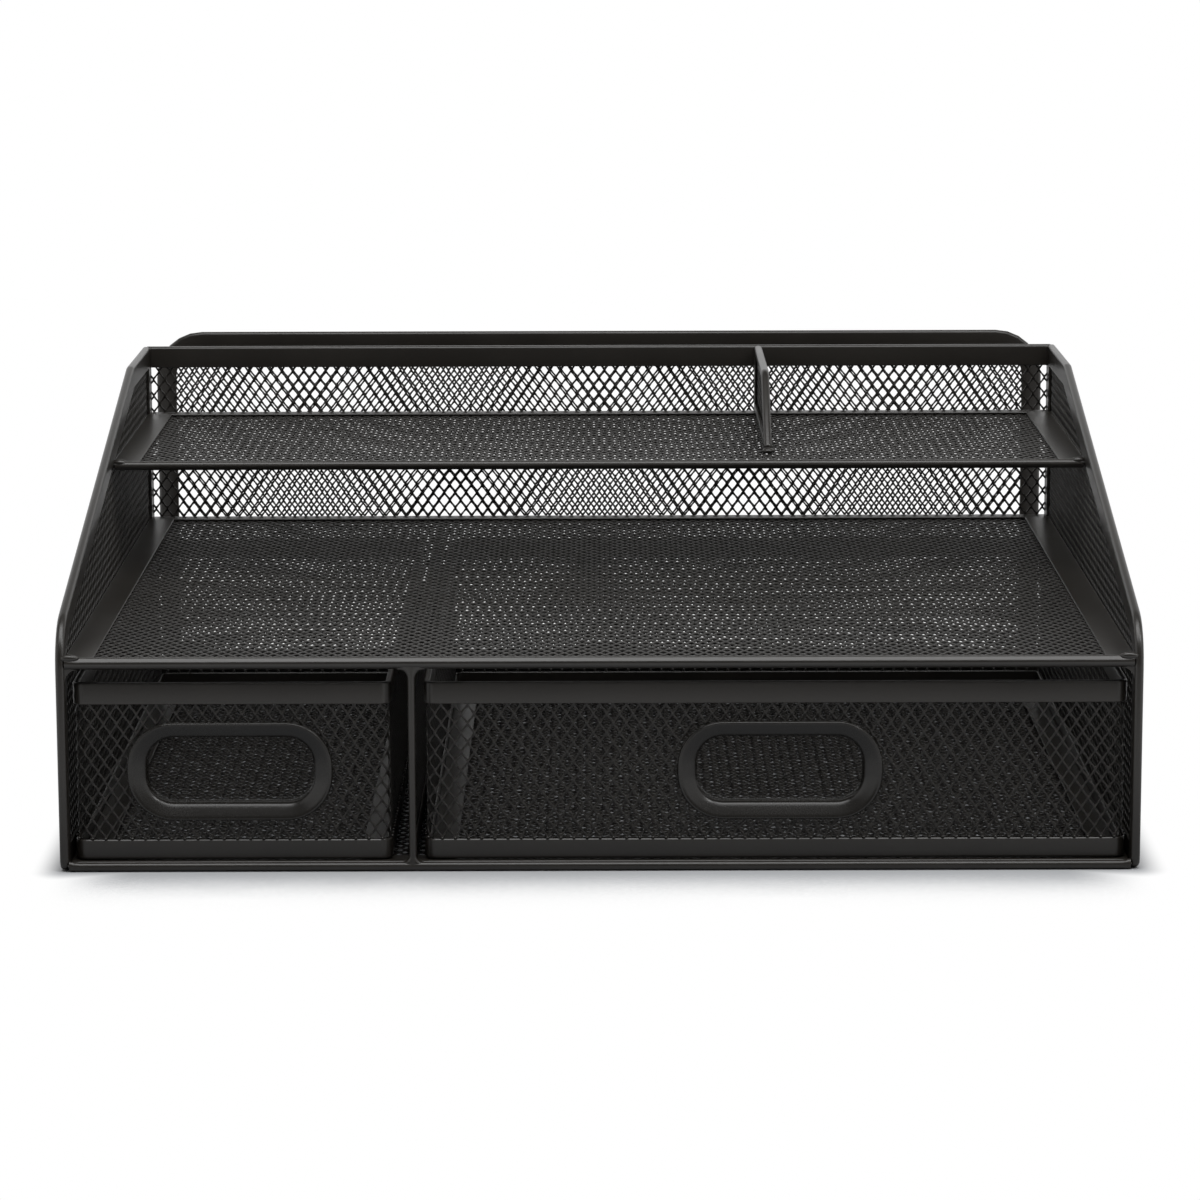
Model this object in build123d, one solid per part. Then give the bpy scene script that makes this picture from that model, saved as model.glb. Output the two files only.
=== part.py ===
from build123d import *
import math
import os

os.makedirs("parts", exist_ok=True)

# Overall size. The organizer stands on z = 0, with its drawers facing -Y and the origin in the middle of its
# footprint.
overall_width = 350.0
overall_depth = 336.0
overall_height = 135.0

# Expanded metal sheet. The real diamonds are too many to draw, so one drawn diamond stands for a block of
# them, with the same proportions and the same open share: the multiples say how many real pitches it spans.
# The cut margin is left solid along an edge that no channel binds.
mesh_short_pitch = 4.2
mesh_long_pitch = 6.3
mesh_thickness = 1.0
diamond_hole_share = 0.84
least_gap_share = 0.1
floor_sheet_multiple = 16
large_sheet_multiple = 12
wall_sheet_multiple = 10
small_sheet_multiple = 6
divider_sheet_multiple = 4
mesh_cut_margin = 1.5

# Folded steel channels that bind the edges of the sheets
rim_width = 8.0
rim_thickness = 3.0
rim_seat = 5.0
rim_edge_bevel = 1.0
strip_width = 8.3
strip_thickness = 2.2
strip_seat = 5.0
strip_fold_bevel = 0.5

# Side panels: upright front edge, sloped top edge, then level to the back, as far as the letter slot
letter_slot_depth = 44.0
side_depth = overall_depth - letter_slot_depth
side_front_height = 80.0
side_level_length = 62.0
side_level_start = side_depth - side_level_length
side_inner_x = overall_width / 2 - rim_thickness
side_front_radius = 17.0
side_peak_radius = 10.0
side_corner_radius = 4.0

# Back wall between the side panels
back_wall_inset = 1.5
back_rail_height = 8.0
back_rail_thickness = 3.0
back_foot_height = 8.0

# Letter panel behind the back wall
letter_side_inset = 0.7
letter_rim_width = 7.5
letter_top_radius = 18.0
letter_bottom_radius = 3.0

# Base under the drawers and under the letter slot
base_thickness = 2.8
base_band_width = 9.0
base_cross_width = 12.0

# Shelves: height of the middle of the sheet, distance of the front edge from the organizer's front. The lower
# one ends behind the header rod. The upper one hangs below the top, and its front rail ends under the sloped
# edge of the side panels.
lower_shelf_height = 67.9
lower_shelf_setback = 2.8
upper_tray_height = 26.4
upper_rail_drop = 9.15
upper_shelf_height = overall_height - upper_tray_height
side_slope = (overall_height - side_front_height) / side_level_start
upper_shelf_setback = (upper_shelf_height + upper_rail_drop - side_front_height) / side_slope
shelf_back_strip_width = 6.0
shelf_rail_depth = 3.2
shelf_rail_height = 2.6
shelf_rail_seat = 1.6

# Divider on the upper shelf, placed by the width of the compartment on its right
right_compartment_width = 111.0
divider_place_x = side_inner_x - right_compartment_width
divider_front_space = 21.5
divider_slope_length = 33.5
divider_foot_setback = upper_shelf_setback + divider_front_space
divider_peak_setback = divider_foot_setback + divider_slope_length
divider_rim_width = 3.0
divider_rim_thickness = 3.0
divider_rim_seat = 1.5
divider_peak_radius = 9.0
divider_corner_radius = 1.4

# Front frame, with the header rod along the lower shelf's front edge, and the partition between the two bays
frame_rod_diameter = 2.8
header_rise = 0.6
post_diameter = 2.4
small_bay_width = 111.4
partition_place_x = small_bay_width - side_inner_x
partition_band_height = 8.0

# Drawers, which fill their bays but for the room to slide
small_drawer_side_room = 1.7
small_drawer_post_room = 6.6
large_drawer_side_room = 1.4
large_drawer_post_room = 3.7
drawer_setback = 4.0
drawer_rear_room = 13.0
drawer_head_room = 5.1
drawer_running_clearance = 0.3
drawer_bottom_z = base_thickness + drawer_running_clearance
drawer_depth = side_depth - drawer_setback - drawer_rear_room
drawer_height = lower_shelf_height - strip_thickness / 2 - drawer_head_room - drawer_bottom_z
small_drawer_left = small_drawer_side_room - side_inner_x
small_drawer_width = small_bay_width - small_drawer_side_room - small_drawer_post_room
large_drawer_left = partition_place_x + large_drawer_post_room
large_drawer_width = side_inner_x - large_drawer_side_room - large_drawer_left
drawer_corner_radius = 4.0
drawer_band_thickness = 2.0
drawer_top_band_height = 7.2
drawer_bottom_band_height = 6.6
drawer_band_seat = 4.0
drawer_band_edge_bevel = 0.6

# Finger pulls: a flange on the front sheet and a dished throat behind it, a little off the drawer's middle
small_pull_shift = -0.9
large_pull_shift = 1.5
pull_width = 66.5
pull_height = 32.5
pull_corner_radius = 15.0
pull_flange_thickness = 1.6
pull_edge_bevel = 0.9
pull_throat_depth = 5.0
pull_hole_width = 53.5
pull_hole_height = 21.0
pull_hole_radius = 8.5
pull_throat_wall = 1.4
pull_mouth_rise = 2.6
pull_lip_bevel = 0.5

# Places worked out from the sizes
front_y = -overall_depth / 2
inner_width = 2 * side_inner_x
back_rail_rear_y = front_y + side_depth - back_wall_inset
back_rail_front_y = back_rail_rear_y - back_rail_thickness
back_mesh_rear_y = back_rail_rear_y - (back_rail_thickness - mesh_thickness) / 2
back_mesh_front_y = back_mesh_rear_y - mesh_thickness
letter_front_y = overall_depth / 2 - rim_thickness
base_front_y = front_y + frame_rod_diameter


def flat_area(low_x, low_y, high_x, high_y):
    """A rectangle between two corners of the drawing plane."""
    middle = Pos((low_x + high_x) / 2, (low_y + high_y) / 2)
    return middle * Rectangle(high_x - low_x, high_y - low_y)


def diamond_sheet(outline, open_area, multiple):
    """A sheet over the outline, holed by a lattice of diamonds that the open area clips."""
    extent = open_area.bounding_box()
    columns = max(1, round(extent.size.X / (mesh_short_pitch * multiple)))
    rows = max(1, round(extent.size.Y / (mesh_long_pitch * multiple)))
    half_short = extent.size.X / columns / 2
    half_long = extent.size.Y / rows / 2
    reach_x = half_short * diamond_hole_share
    reach_y = half_long * diamond_hole_share
    diamond = Polygon((reach_x, 0), (0, reach_y), (-reach_x, 0), (0, -reach_y))
    low_corner = Pos(extent.min.X, extent.min.Y)
    places = [
        low_corner * Pos(column * half_short, row * half_long)
        for column in range(2 * columns + 1)
        for row in range(2 * rows + 1)
        if (column + row) % 2
    ]
    gaps = open_area & (Sketch() + [place * diamond for place in places])
    least_area = least_gap_share * diamond.area
    holes = [gap.outer_wire() for gap in gaps.faces() if gap.area > least_area]
    return extrude(Face(outline.face().outer_wire(), holes), mesh_thickness)


def bound_panel(outline, band_width, thickness, seat, mesh_level, multiple):
    """A closed rim along an outline and the sheet that seats in its groove, lying on the drawing plane."""
    open_area = offset(outline, -band_width, kind=Kind.INTERSECTION)
    seated_area = offset(outline, seat - band_width, kind=Kind.INTERSECTION)
    rim = extrude(outline, thickness)
    outer_edges = rim.edges().group_by(Axis.Z)[0] + rim.edges().group_by(Axis.Z)[-1]
    rim = chamfer(outer_edges, rim_edge_bevel)
    rim -= extrude(open_area, thickness)
    rim -= Pos(0, 0, mesh_level) * extrude(seated_area, mesh_thickness)
    sheet = Pos(0, 0, mesh_level) * diamond_sheet(seated_area, open_area, multiple)
    return rim, sheet


def channel_strip(start, fold_direction, run_direction, length, width, thickness, seat, fold_bevel):
    """A folded strip: its groove opens at the start point and its fold lies a width away from there."""
    profile = Rectangle(width, thickness, align=(Align.MIN, Align.CENTER))
    profile = chamfer(profile.vertices().group_by(Axis.X)[-1], fold_bevel)
    profile -= Rectangle(seat, mesh_thickness, align=(Align.MIN, Align.CENTER))
    plane = Plane(origin=start, x_dir=fold_direction, z_dir=run_direction)
    return extrude(plane * profile, length)


def cross_rod(diameter, centre_y, centre_z):
    """A round rod from side panel to side panel."""
    rod = extrude(Circle(diameter / 2), inner_width)
    return Plane.YZ.offset(-side_inner_x) * Pos(centre_y, centre_z) * rod


def side_panel():
    """The right side panel: its rim, and its sheet flush with the rim's inner face."""
    back_y = front_y + side_depth
    corners = [
        (front_y, 0),
        (front_y, side_front_height),
        (front_y + side_level_start, overall_height),
        (back_y, overall_height),
        (back_y, 0),
    ]
    radii = [
        side_corner_radius,
        side_front_radius,
        side_peak_radius,
        side_corner_radius,
        side_corner_radius,
    ]
    outline = make_face(FilletPolyline(*corners, radius=radii, close=True))
    rim, sheet = bound_panel(outline, rim_width, rim_thickness, rim_seat, 0, large_sheet_multiple)
    inner_plane = Plane.YZ.offset(side_inner_x)
    return inner_plane * rim, inner_plane * sheet


def letter_panel():
    """The panel behind the letter slot, with large upper corners."""
    half = overall_width / 2 - letter_side_inset
    corners = [(-half, 0), (-half, overall_height), (half, overall_height), (half, 0)]
    radii = [letter_bottom_radius, letter_top_radius, letter_top_radius, letter_bottom_radius]
    outline = make_face(FilletPolyline(*corners, radius=radii, close=True))
    mesh_level = (rim_thickness - mesh_thickness) / 2
    sizes = (letter_rim_width, rim_thickness, rim_seat)
    rim, sheet = bound_panel(outline, *sizes, mesh_level, large_sheet_multiple)
    rear_plane = Plane.XZ.offset(-overall_depth / 2)
    return rear_plane * rim, rear_plane * sheet


def back_wall():
    """The wall between the side panels: top rail, foot on the base, and the sheet between them."""
    middle_y = (back_rail_front_y + back_rail_rear_y) / 2
    rail_low_z = overall_height - back_rail_height
    foot_high_z = base_thickness + back_foot_height
    across = (1, 0, 0)
    rail_start = (-side_inner_x, middle_y, rail_low_z)
    foot_start = (-side_inner_x, middle_y, foot_high_z)
    sizes = (back_rail_thickness, rim_seat, rim_edge_bevel)
    rail = channel_strip(rail_start, (0, 0, 1), across, inner_width, back_rail_height, *sizes)
    foot = channel_strip(foot_start, (0, 0, -1), across, inner_width, back_foot_height, *sizes)
    outline = flat_area(-side_inner_x, foot_high_z - rim_seat, side_inner_x, rail_low_z + rim_seat)
    open_x = side_inner_x - mesh_cut_margin
    open_area = flat_area(-open_x, foot_high_z, open_x, rail_low_z)
    sheet = Plane.XZ.offset(-back_mesh_rear_y) * diamond_sheet(outline, open_area, large_sheet_multiple)
    return rail, foot, sheet


def base():
    """The flat frame that the organizer stands on, with the bay floor and the slot floor seated in it."""
    cross_middle_y = (back_rail_front_y + back_rail_rear_y) / 2
    cross_front_y = cross_middle_y - base_cross_width / 2
    cross_rear_y = cross_middle_y + base_cross_width / 2
    window_x = side_inner_x - base_band_width
    bay_window = flat_area(-window_x, base_front_y + base_band_width, window_x, cross_front_y)
    slot_window = flat_area(-window_x, cross_rear_y, window_x, letter_front_y - base_band_width)
    outline = flat_area(-side_inner_x, base_front_y, side_inner_x, letter_front_y)
    frame = extrude(outline - bay_window - slot_window, base_thickness)
    mesh_plane = Plane.XY.offset((base_thickness - mesh_thickness) / 2)
    seat = min(strip_seat, base_cross_width / 2 - mesh_thickness)
    sheets = []
    for window, multiple in ((bay_window, floor_sheet_multiple), (slot_window, wall_sheet_multiple)):
        seated_area = offset(window, seat, kind=Kind.INTERSECTION)
        frame -= mesh_plane * extrude(seated_area, mesh_thickness)
        sheets.append(mesh_plane * diamond_sheet(seated_area, window, multiple))
    return frame, *sheets


def shelf(height, setback):
    """One shelf: left, right and back strips, front rail, and the sheet seated in all four."""
    rail_rear_y = front_y + setback + shelf_rail_depth
    back_strip_front_y = back_mesh_front_y - shelf_back_strip_width
    strip_inner_x = side_inner_x - strip_width
    side_run = back_strip_front_y - rail_rear_y
    strip_sizes = (strip_thickness, strip_seat, strip_fold_bevel)
    rail_sizes = (shelf_rail_depth, shelf_rail_height, shelf_rail_seat, rim_edge_bevel)
    across = (1, 0, 0)
    rearward = (0, 1, 0)
    left_start = (-strip_inner_x, rail_rear_y, height)
    right_start = (strip_inner_x, rail_rear_y, height)
    back_start = (-side_inner_x, back_strip_front_y, height)
    rail_start = (-side_inner_x, rail_rear_y, height)
    left = channel_strip(left_start, (-1, 0, 0), rearward, side_run, strip_width, *strip_sizes)
    right = channel_strip(right_start, (1, 0, 0), rearward, side_run, strip_width, *strip_sizes)
    back = channel_strip(back_start, rearward, across, inner_width, shelf_back_strip_width, *strip_sizes)
    rail = channel_strip(rail_start, (0, -1, 0), across, inner_width, *rail_sizes)
    seated_x = strip_inner_x + strip_seat
    seated_front_y = rail_rear_y - shelf_rail_seat
    seated_back_y = back_strip_front_y + strip_seat
    outline = flat_area(-seated_x, seated_front_y, seated_x, seated_back_y)
    open_area = flat_area(-strip_inner_x, rail_rear_y, strip_inner_x, back_strip_front_y)
    mesh_plane = Plane.XY.offset(height - mesh_thickness / 2)
    sheet = mesh_plane * diamond_sheet(outline, open_area, large_sheet_multiple)
    return left, right, back, rail, sheet


def shelf_divider():
    """The upright divider that stands on the upper shelf and leans against the back wall."""
    foot_z = upper_shelf_height + strip_thickness / 2
    corners = [
        (front_y + divider_foot_setback, foot_z),
        (front_y + divider_peak_setback, overall_height),
        (back_rail_front_y, overall_height),
        (back_rail_front_y, foot_z),
    ]
    radii = [
        divider_corner_radius,
        divider_peak_radius,
        divider_corner_radius,
        divider_corner_radius,
    ]
    outline = make_face(FilletPolyline(*corners, radius=radii, close=True))
    mesh_level = (divider_rim_thickness - mesh_thickness) / 2
    sizes = (divider_rim_width, divider_rim_thickness, divider_rim_seat)
    rim, sheet = bound_panel(outline, *sizes, mesh_level, divider_sheet_multiple)
    left_plane = Plane.YZ.offset(divider_place_x - divider_rim_thickness / 2)
    return left_plane * rim, left_plane * sheet


def front_frame():
    """The sill and header rods and the centre post, which is coped to fit both."""
    sill_z = base_thickness - frame_rod_diameter / 2
    header_z = lower_shelf_height + header_rise
    rod_y = front_y + frame_rod_diameter / 2
    sill = cross_rod(frame_rod_diameter, rod_y, sill_z)
    header = cross_rod(frame_rod_diameter, rod_y, header_z)
    post = Pos(partition_place_x, rod_y, sill_z) * extrude(Circle(post_diameter / 2), header_z - sill_z)
    return sill, header, post - sill - header


def bay_partition():
    """The wall between the two drawer bays, from the post to the back wall."""
    start_y = front_y + lower_shelf_setback + shelf_rail_depth
    run = back_rail_front_y - start_y
    top_z = lower_shelf_height - strip_thickness / 2
    head_low_z = top_z - partition_band_height
    foot_high_z = base_thickness + partition_band_height
    sizes = (partition_band_height, strip_thickness, strip_seat, strip_fold_bevel)
    rearward = (0, 1, 0)
    head = channel_strip((partition_place_x, start_y, head_low_z), (0, 0, 1), rearward, run, *sizes)
    foot = channel_strip((partition_place_x, start_y, foot_high_z), (0, 0, -1), rearward, run, *sizes)
    outline = flat_area(start_y, foot_high_z - strip_seat, back_rail_front_y, head_low_z + strip_seat)
    open_start_y = start_y + mesh_cut_margin
    open_end_y = back_rail_front_y - mesh_cut_margin
    open_area = flat_area(open_start_y, foot_high_z, open_end_y, head_low_z)
    mesh_plane = Plane.YZ.offset(partition_place_x - mesh_thickness / 2)
    return head, foot, mesh_plane * diamond_sheet(outline, open_area, wall_sheet_multiple)


def finger_pull():
    """The pull, with its flange on the drawing plane and its throat below, and the window that it needs."""
    flange_outline = RectangleRounded(pull_width, pull_height, pull_corner_radius)
    hole_outline = RectangleRounded(pull_hole_width, pull_hole_height, pull_hole_radius)
    throat_outline = offset(hole_outline, pull_throat_wall, kind=Kind.ARC)
    full_depth = pull_throat_depth + pull_flange_thickness
    throat_taper = math.degrees(math.atan(pull_mouth_rise / full_depth))
    flange = extrude(flange_outline, pull_flange_thickness)
    flange = chamfer(flange.edges().group_by(Axis.Z)[-1], pull_edge_bevel)
    throat_plane = Pos(0, 0, -pull_throat_depth)
    throat = throat_plane * extrude(throat_outline, pull_throat_depth, taper=-throat_taper)
    window = throat.faces().sort_by(Axis.Z)[-1]
    hole = throat_plane * extrude(hole_outline, full_depth, taper=-throat_taper)
    pull = flange + throat - hole
    pull = chamfer(pull.faces().sort_by(Axis.Z)[0].inner_wires()[0].edges(), pull_lip_bevel)
    return pull, window


def drawer(left_x, width, pull_shift):
    """One drawer: bands round the top and bottom edges, four walls, floor, floor strips and finger pull."""
    centre_x = left_x + width / 2
    drawer_front_y = front_y + drawer_setback
    centre = Pos(centre_x, drawer_front_y + drawer_depth / 2)
    top_z = drawer_bottom_z + drawer_height
    skin = (drawer_band_thickness - mesh_thickness) / 2

    def ring(outer_inset, inner_inset):
        """The area between two insets of the drawer's rounded outline."""
        outlines = []
        for inset in (outer_inset, inner_inset):
            size = (width - 2 * inset, drawer_depth - 2 * inset)
            outlines.append(RectangleRounded(*size, drawer_corner_radius - inset))
        return centre * (outlines[0] - outlines[1])

    sheet_ring = ring(skin, skin + mesh_thickness)
    sheet_low_z = drawer_bottom_z + drawer_bottom_band_height - drawer_band_seat
    sheet_high_z = top_z - drawer_top_band_height + drawer_band_seat
    sheet_solid = Plane.XY.offset(sheet_low_z) * extrude(sheet_ring, sheet_high_z - sheet_low_z)

    band_ring = ring(0, drawer_band_thickness)
    top_band = Plane.XY.offset(top_z - drawer_top_band_height) * extrude(band_ring, drawer_top_band_height)
    top_edges = top_band.faces().sort_by(Axis.Z)[-1].outer_wire().edges()
    top_band = chamfer(top_edges, drawer_band_edge_bevel) - sheet_solid
    bottom_band = Plane.XY.offset(drawer_bottom_z) * extrude(band_ring, drawer_bottom_band_height)
    bottom_band -= sheet_solid

    half_wall = width / 2 - drawer_corner_radius
    half_run = drawer_depth / 2 - drawer_corner_radius
    open_low_z = drawer_bottom_z + drawer_bottom_band_height
    open_high_z = top_z - drawer_top_band_height
    middle_y = drawer_front_y + drawer_depth / 2
    wall_outline = flat_area(centre_x - half_wall, sheet_low_z, centre_x + half_wall, sheet_high_z)
    open_wall = half_wall - mesh_cut_margin
    open_run = half_run - mesh_cut_margin
    wall_open = flat_area(centre_x - open_wall, open_low_z, centre_x + open_wall, open_high_z)
    run_outline = flat_area(middle_y - half_run, sheet_low_z, middle_y + half_run, sheet_high_z)
    run_open = flat_area(middle_y - open_run, open_low_z, middle_y + open_run, open_high_z)

    front_rear_y = drawer_front_y + skin + mesh_thickness
    back_rear_y = drawer_front_y + drawer_depth - skin
    left_face_x = left_x + skin
    right_face_x = left_x + width - skin - mesh_thickness
    pull_plane = Plane(
        origin=(centre_x + pull_shift, drawer_front_y + skin, drawer_bottom_z + drawer_height / 2),
        x_dir=(1, 0, 0),
        z_dir=(0, -1, 0),
    )
    pull, window = finger_pull()
    cross_sheet = diamond_sheet(wall_outline, wall_open, small_sheet_multiple)
    run_sheet = diamond_sheet(run_outline, run_open, wall_sheet_multiple)
    front_wall = Plane.XZ.offset(-front_rear_y) * cross_sheet
    rear_wall = Plane.XZ.offset(-back_rear_y) * cross_sheet
    left_wall = Plane.YZ.offset(left_face_x) * run_sheet
    right_wall = Plane.YZ.offset(right_face_x) * run_sheet
    corner_size = (drawer_corner_radius, drawer_corner_radius, overall_height)
    for side in (-1, 1):
        bend_x = centre_x + side * (width - drawer_corner_radius) / 2
        front_bend = Pos(bend_x, drawer_front_y + drawer_corner_radius / 2) * Box(*corner_size)
        back_bend = Pos(bend_x, drawer_front_y + drawer_depth - drawer_corner_radius / 2) * Box(*corner_size)
        front_wall += sheet_solid & front_bend
        rear_wall += sheet_solid & back_bend
    front_wall -= pull_plane * extrude(window, -mesh_thickness)
    pull = pull_plane * pull

    inner_left_x = left_x + drawer_band_thickness
    inner_right_x = left_x + width - drawer_band_thickness
    inner_front_y = drawer_front_y + drawer_band_thickness
    inner_back_y = drawer_front_y + drawer_depth - drawer_band_thickness
    inner_radius = drawer_corner_radius - drawer_band_thickness
    floor_z = drawer_bottom_z + strip_thickness / 2
    strip_sizes = (strip_width, strip_thickness, strip_seat, strip_fold_bevel)
    strip_start_y = inner_front_y + inner_radius
    strip_run = inner_back_y - inner_front_y - 2 * inner_radius
    floor_left_x = inner_left_x + strip_width
    floor_right_x = inner_right_x - strip_width
    rearward = (0, 1, 0)
    left_start = (floor_left_x, strip_start_y, floor_z)
    right_start = (floor_right_x, strip_start_y, floor_z)
    left_strip = channel_strip(left_start, (-1, 0, 0), rearward, strip_run, *strip_sizes)
    right_strip = channel_strip(right_start, (1, 0, 0), rearward, strip_run, *strip_sizes)
    floor_strips = Compound(children=[left_strip, right_strip])
    seated_left_x = floor_left_x - strip_seat
    seated_right_x = floor_right_x + strip_seat
    floor_outline = flat_area(seated_left_x, inner_front_y, seated_right_x, inner_back_y)
    floor_open = flat_area(floor_left_x, strip_start_y, floor_right_x, inner_back_y - inner_radius)
    floor_plane = Plane.XY.offset(floor_z - mesh_thickness / 2)
    floor_sheet = floor_plane * diamond_sheet(floor_outline, floor_open, floor_sheet_multiple)

    return {
        "top_band": top_band,
        "bottom_band": bottom_band,
        "front_mesh": front_wall,
        "back_mesh": rear_wall,
        "left_mesh": left_wall,
        "right_mesh": right_wall,
        "floor_mesh": floor_sheet,
        "floor_strips": floor_strips,
        "finger_pull": pull,
    }


nodes = {}

nodes["right_side_rim"], nodes["right_side_mesh"] = side_panel()
nodes["left_side_rim"] = mirror(nodes["right_side_rim"], about=Plane.YZ)
nodes["left_side_mesh"] = mirror(nodes["right_side_mesh"], about=Plane.YZ)
nodes["back_wall_rail"], nodes["back_wall_foot"], nodes["back_wall_mesh"] = back_wall()
nodes["letter_panel_rim"], nodes["letter_panel_mesh"] = letter_panel()
nodes["base_frame"], nodes["bay_floor_mesh"], nodes["letter_slot_floor_mesh"] = base()

shelf_pieces = ("left_strip", "right_strip", "back_strip", "front_rail", "mesh")
shelf_places = {
    "lower_shelf": (lower_shelf_height, lower_shelf_setback),
    "upper_shelf": (upper_shelf_height, upper_shelf_setback),
}
for shelf_name, place in shelf_places.items():
    for piece_name, piece in zip(shelf_pieces, shelf(*place)):
        nodes[f"{shelf_name}_{piece_name}"] = piece

nodes["shelf_divider_rim"], nodes["shelf_divider_mesh"] = shelf_divider()
nodes["front_sill_rod"], nodes["front_header_rod"], nodes["front_centre_post"] = front_frame()
nodes["bay_partition_head"], nodes["bay_partition_foot"], nodes["bay_partition_mesh"] = bay_partition()

drawer_places = {
    "small_drawer": (small_drawer_left, small_drawer_width, small_pull_shift),
    "large_drawer": (large_drawer_left, large_drawer_width, large_pull_shift),
}
for drawer_name, place in drawer_places.items():
    for piece_name, piece in drawer(*place).items():
        nodes[f"{drawer_name}_{piece_name}"] = piece

for node_name, piece in nodes.items():
    export_step(piece, f"parts/{node_name}.step")
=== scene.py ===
"""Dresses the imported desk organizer: expanded steel sheets in folded channels, two sliding drawers, plain studio.

All sizes in this file are millimetres unless a name says otherwise; meshes are scaled to metres when they are made.
"""

from __future__ import annotations

import logging
import math
from dataclasses import dataclass, field, replace
from enum import Enum
from typing import Any, Callable, Sequence

import bmesh
import bpy
import numpy as np
from mathutils import Matrix, Vector, noise

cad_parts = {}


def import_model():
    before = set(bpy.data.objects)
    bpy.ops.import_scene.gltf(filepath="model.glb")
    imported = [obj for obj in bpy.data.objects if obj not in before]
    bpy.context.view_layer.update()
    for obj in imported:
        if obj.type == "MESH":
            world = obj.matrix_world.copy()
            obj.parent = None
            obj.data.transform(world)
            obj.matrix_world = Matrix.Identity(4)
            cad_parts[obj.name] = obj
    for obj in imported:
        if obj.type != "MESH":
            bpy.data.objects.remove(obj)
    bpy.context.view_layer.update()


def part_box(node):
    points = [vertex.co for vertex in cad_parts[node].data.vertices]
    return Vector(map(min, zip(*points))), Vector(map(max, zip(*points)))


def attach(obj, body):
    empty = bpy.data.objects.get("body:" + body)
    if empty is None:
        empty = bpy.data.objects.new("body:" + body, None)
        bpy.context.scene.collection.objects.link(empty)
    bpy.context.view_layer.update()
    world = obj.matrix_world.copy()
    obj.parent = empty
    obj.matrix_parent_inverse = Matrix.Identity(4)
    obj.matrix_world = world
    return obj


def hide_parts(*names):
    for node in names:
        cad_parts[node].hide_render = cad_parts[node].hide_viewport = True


LOG = logging.getLogger("organizer")
MM = 0.001
BAKE_MAP = "OFBake"
LEAST_RADIUS = 0.05
CORNER_STEPS = 7
LEAST_COSINE = 0.5
WELD_SHARP_ANGLE = 60.0
BEAD_SIDES, BEAD_ROWS, BEAD_LIFT = 12, 7, 1.35
LUMP_DEPTH, LUMP_SCALE = 0.14, 1.7
BAKE_LEAN, BAKE_ROOM, BAKE_MARGIN = 0.3, 1.02, 0.005
FACE_POINTS = 4
BOND_POINTS = 2 * FACE_POINTS

Point = tuple[float, float, float]
Flat = tuple[float, float]
Colour = tuple[float, float, float]
Outline = Sequence[tuple[float, float]]
Keep = Callable[[np.ndarray, np.ndarray], np.ndarray]
Placer = Callable[[np.ndarray, np.ndarray, np.ndarray], np.ndarray]


class Body(Enum):
    """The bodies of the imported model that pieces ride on."""

    HOUSING = "housing"
    SMALL_DRAWER = "small_drawer"
    LARGE_DRAWER = "large_drawer"


class Slot(Enum):
    """The record's material slots."""

    MESH = "expanded_mesh"
    CHANNEL = "folded_channels"
    PULL = "finger_pulls"


class Side(Enum):
    """The two side panels, with the sign of X that each stands at."""

    LEFT = -1
    RIGHT = 1


class Value:
    """A socket of a node tree, with arithmetic that adds Math nodes."""

    def __init__(self, tree: ShaderTree, socket: bpy.types.NodeSocket) -> None:
        """Wraps a socket of a tree."""
        self.tree = tree
        self.socket = socket

    def _math(self, operation: str, first: Any, second: Any) -> Value:
        """The result of one Math node on two values or numbers."""
        return self.tree.node("ShaderNodeMath", {"operation": operation}, {0: first, 1: second})

    def __add__(self, other: Any) -> Value:
        """The sum."""
        return self._math("ADD", self, other)

    def __radd__(self, other: Any) -> Value:
        """The sum with a number in front."""
        return self._math("ADD", other, self)

    def __sub__(self, other: Any) -> Value:
        """The difference."""
        return self._math("SUBTRACT", self, other)

    def __rsub__(self, other: Any) -> Value:
        """The difference from a number in front."""
        return self._math("SUBTRACT", other, self)

    def __mul__(self, other: Any) -> Value:
        """The product."""
        return self._math("MULTIPLY", self, other)

    def __rmul__(self, other: Any) -> Value:
        """The product with a number in front."""
        return self._math("MULTIPLY", other, self)

    def at_most(self, limit: Any) -> Value:
        """The lesser of the value and a limit."""
        return self._math("MINIMUM", self, limit)

    def at_least(self, limit: Any) -> Value:
        """The greater of the value and a limit."""
        return self._math("MAXIMUM", self, limit)

    def size(self) -> Value:
        """The value without its sign."""
        return self.tree.node("ShaderNodeMath", {"operation": "ABSOLUTE"}, {0: self})

    def root(self) -> Value:
        """The square root."""
        return self.tree.node("ShaderNodeMath", {"operation": "SQRT"}, {0: self})

    def spread(self, low: float, high: float) -> Value:
        """The value run from 0 at low to 1 at high, smoothly and clamped."""
        settings = {"interpolation_type": "SMOOTHSTEP"}
        return self.tree.node("ShaderNodeMapRange", settings, {"Value": self, "From Min": low, "From Max": high})


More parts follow.
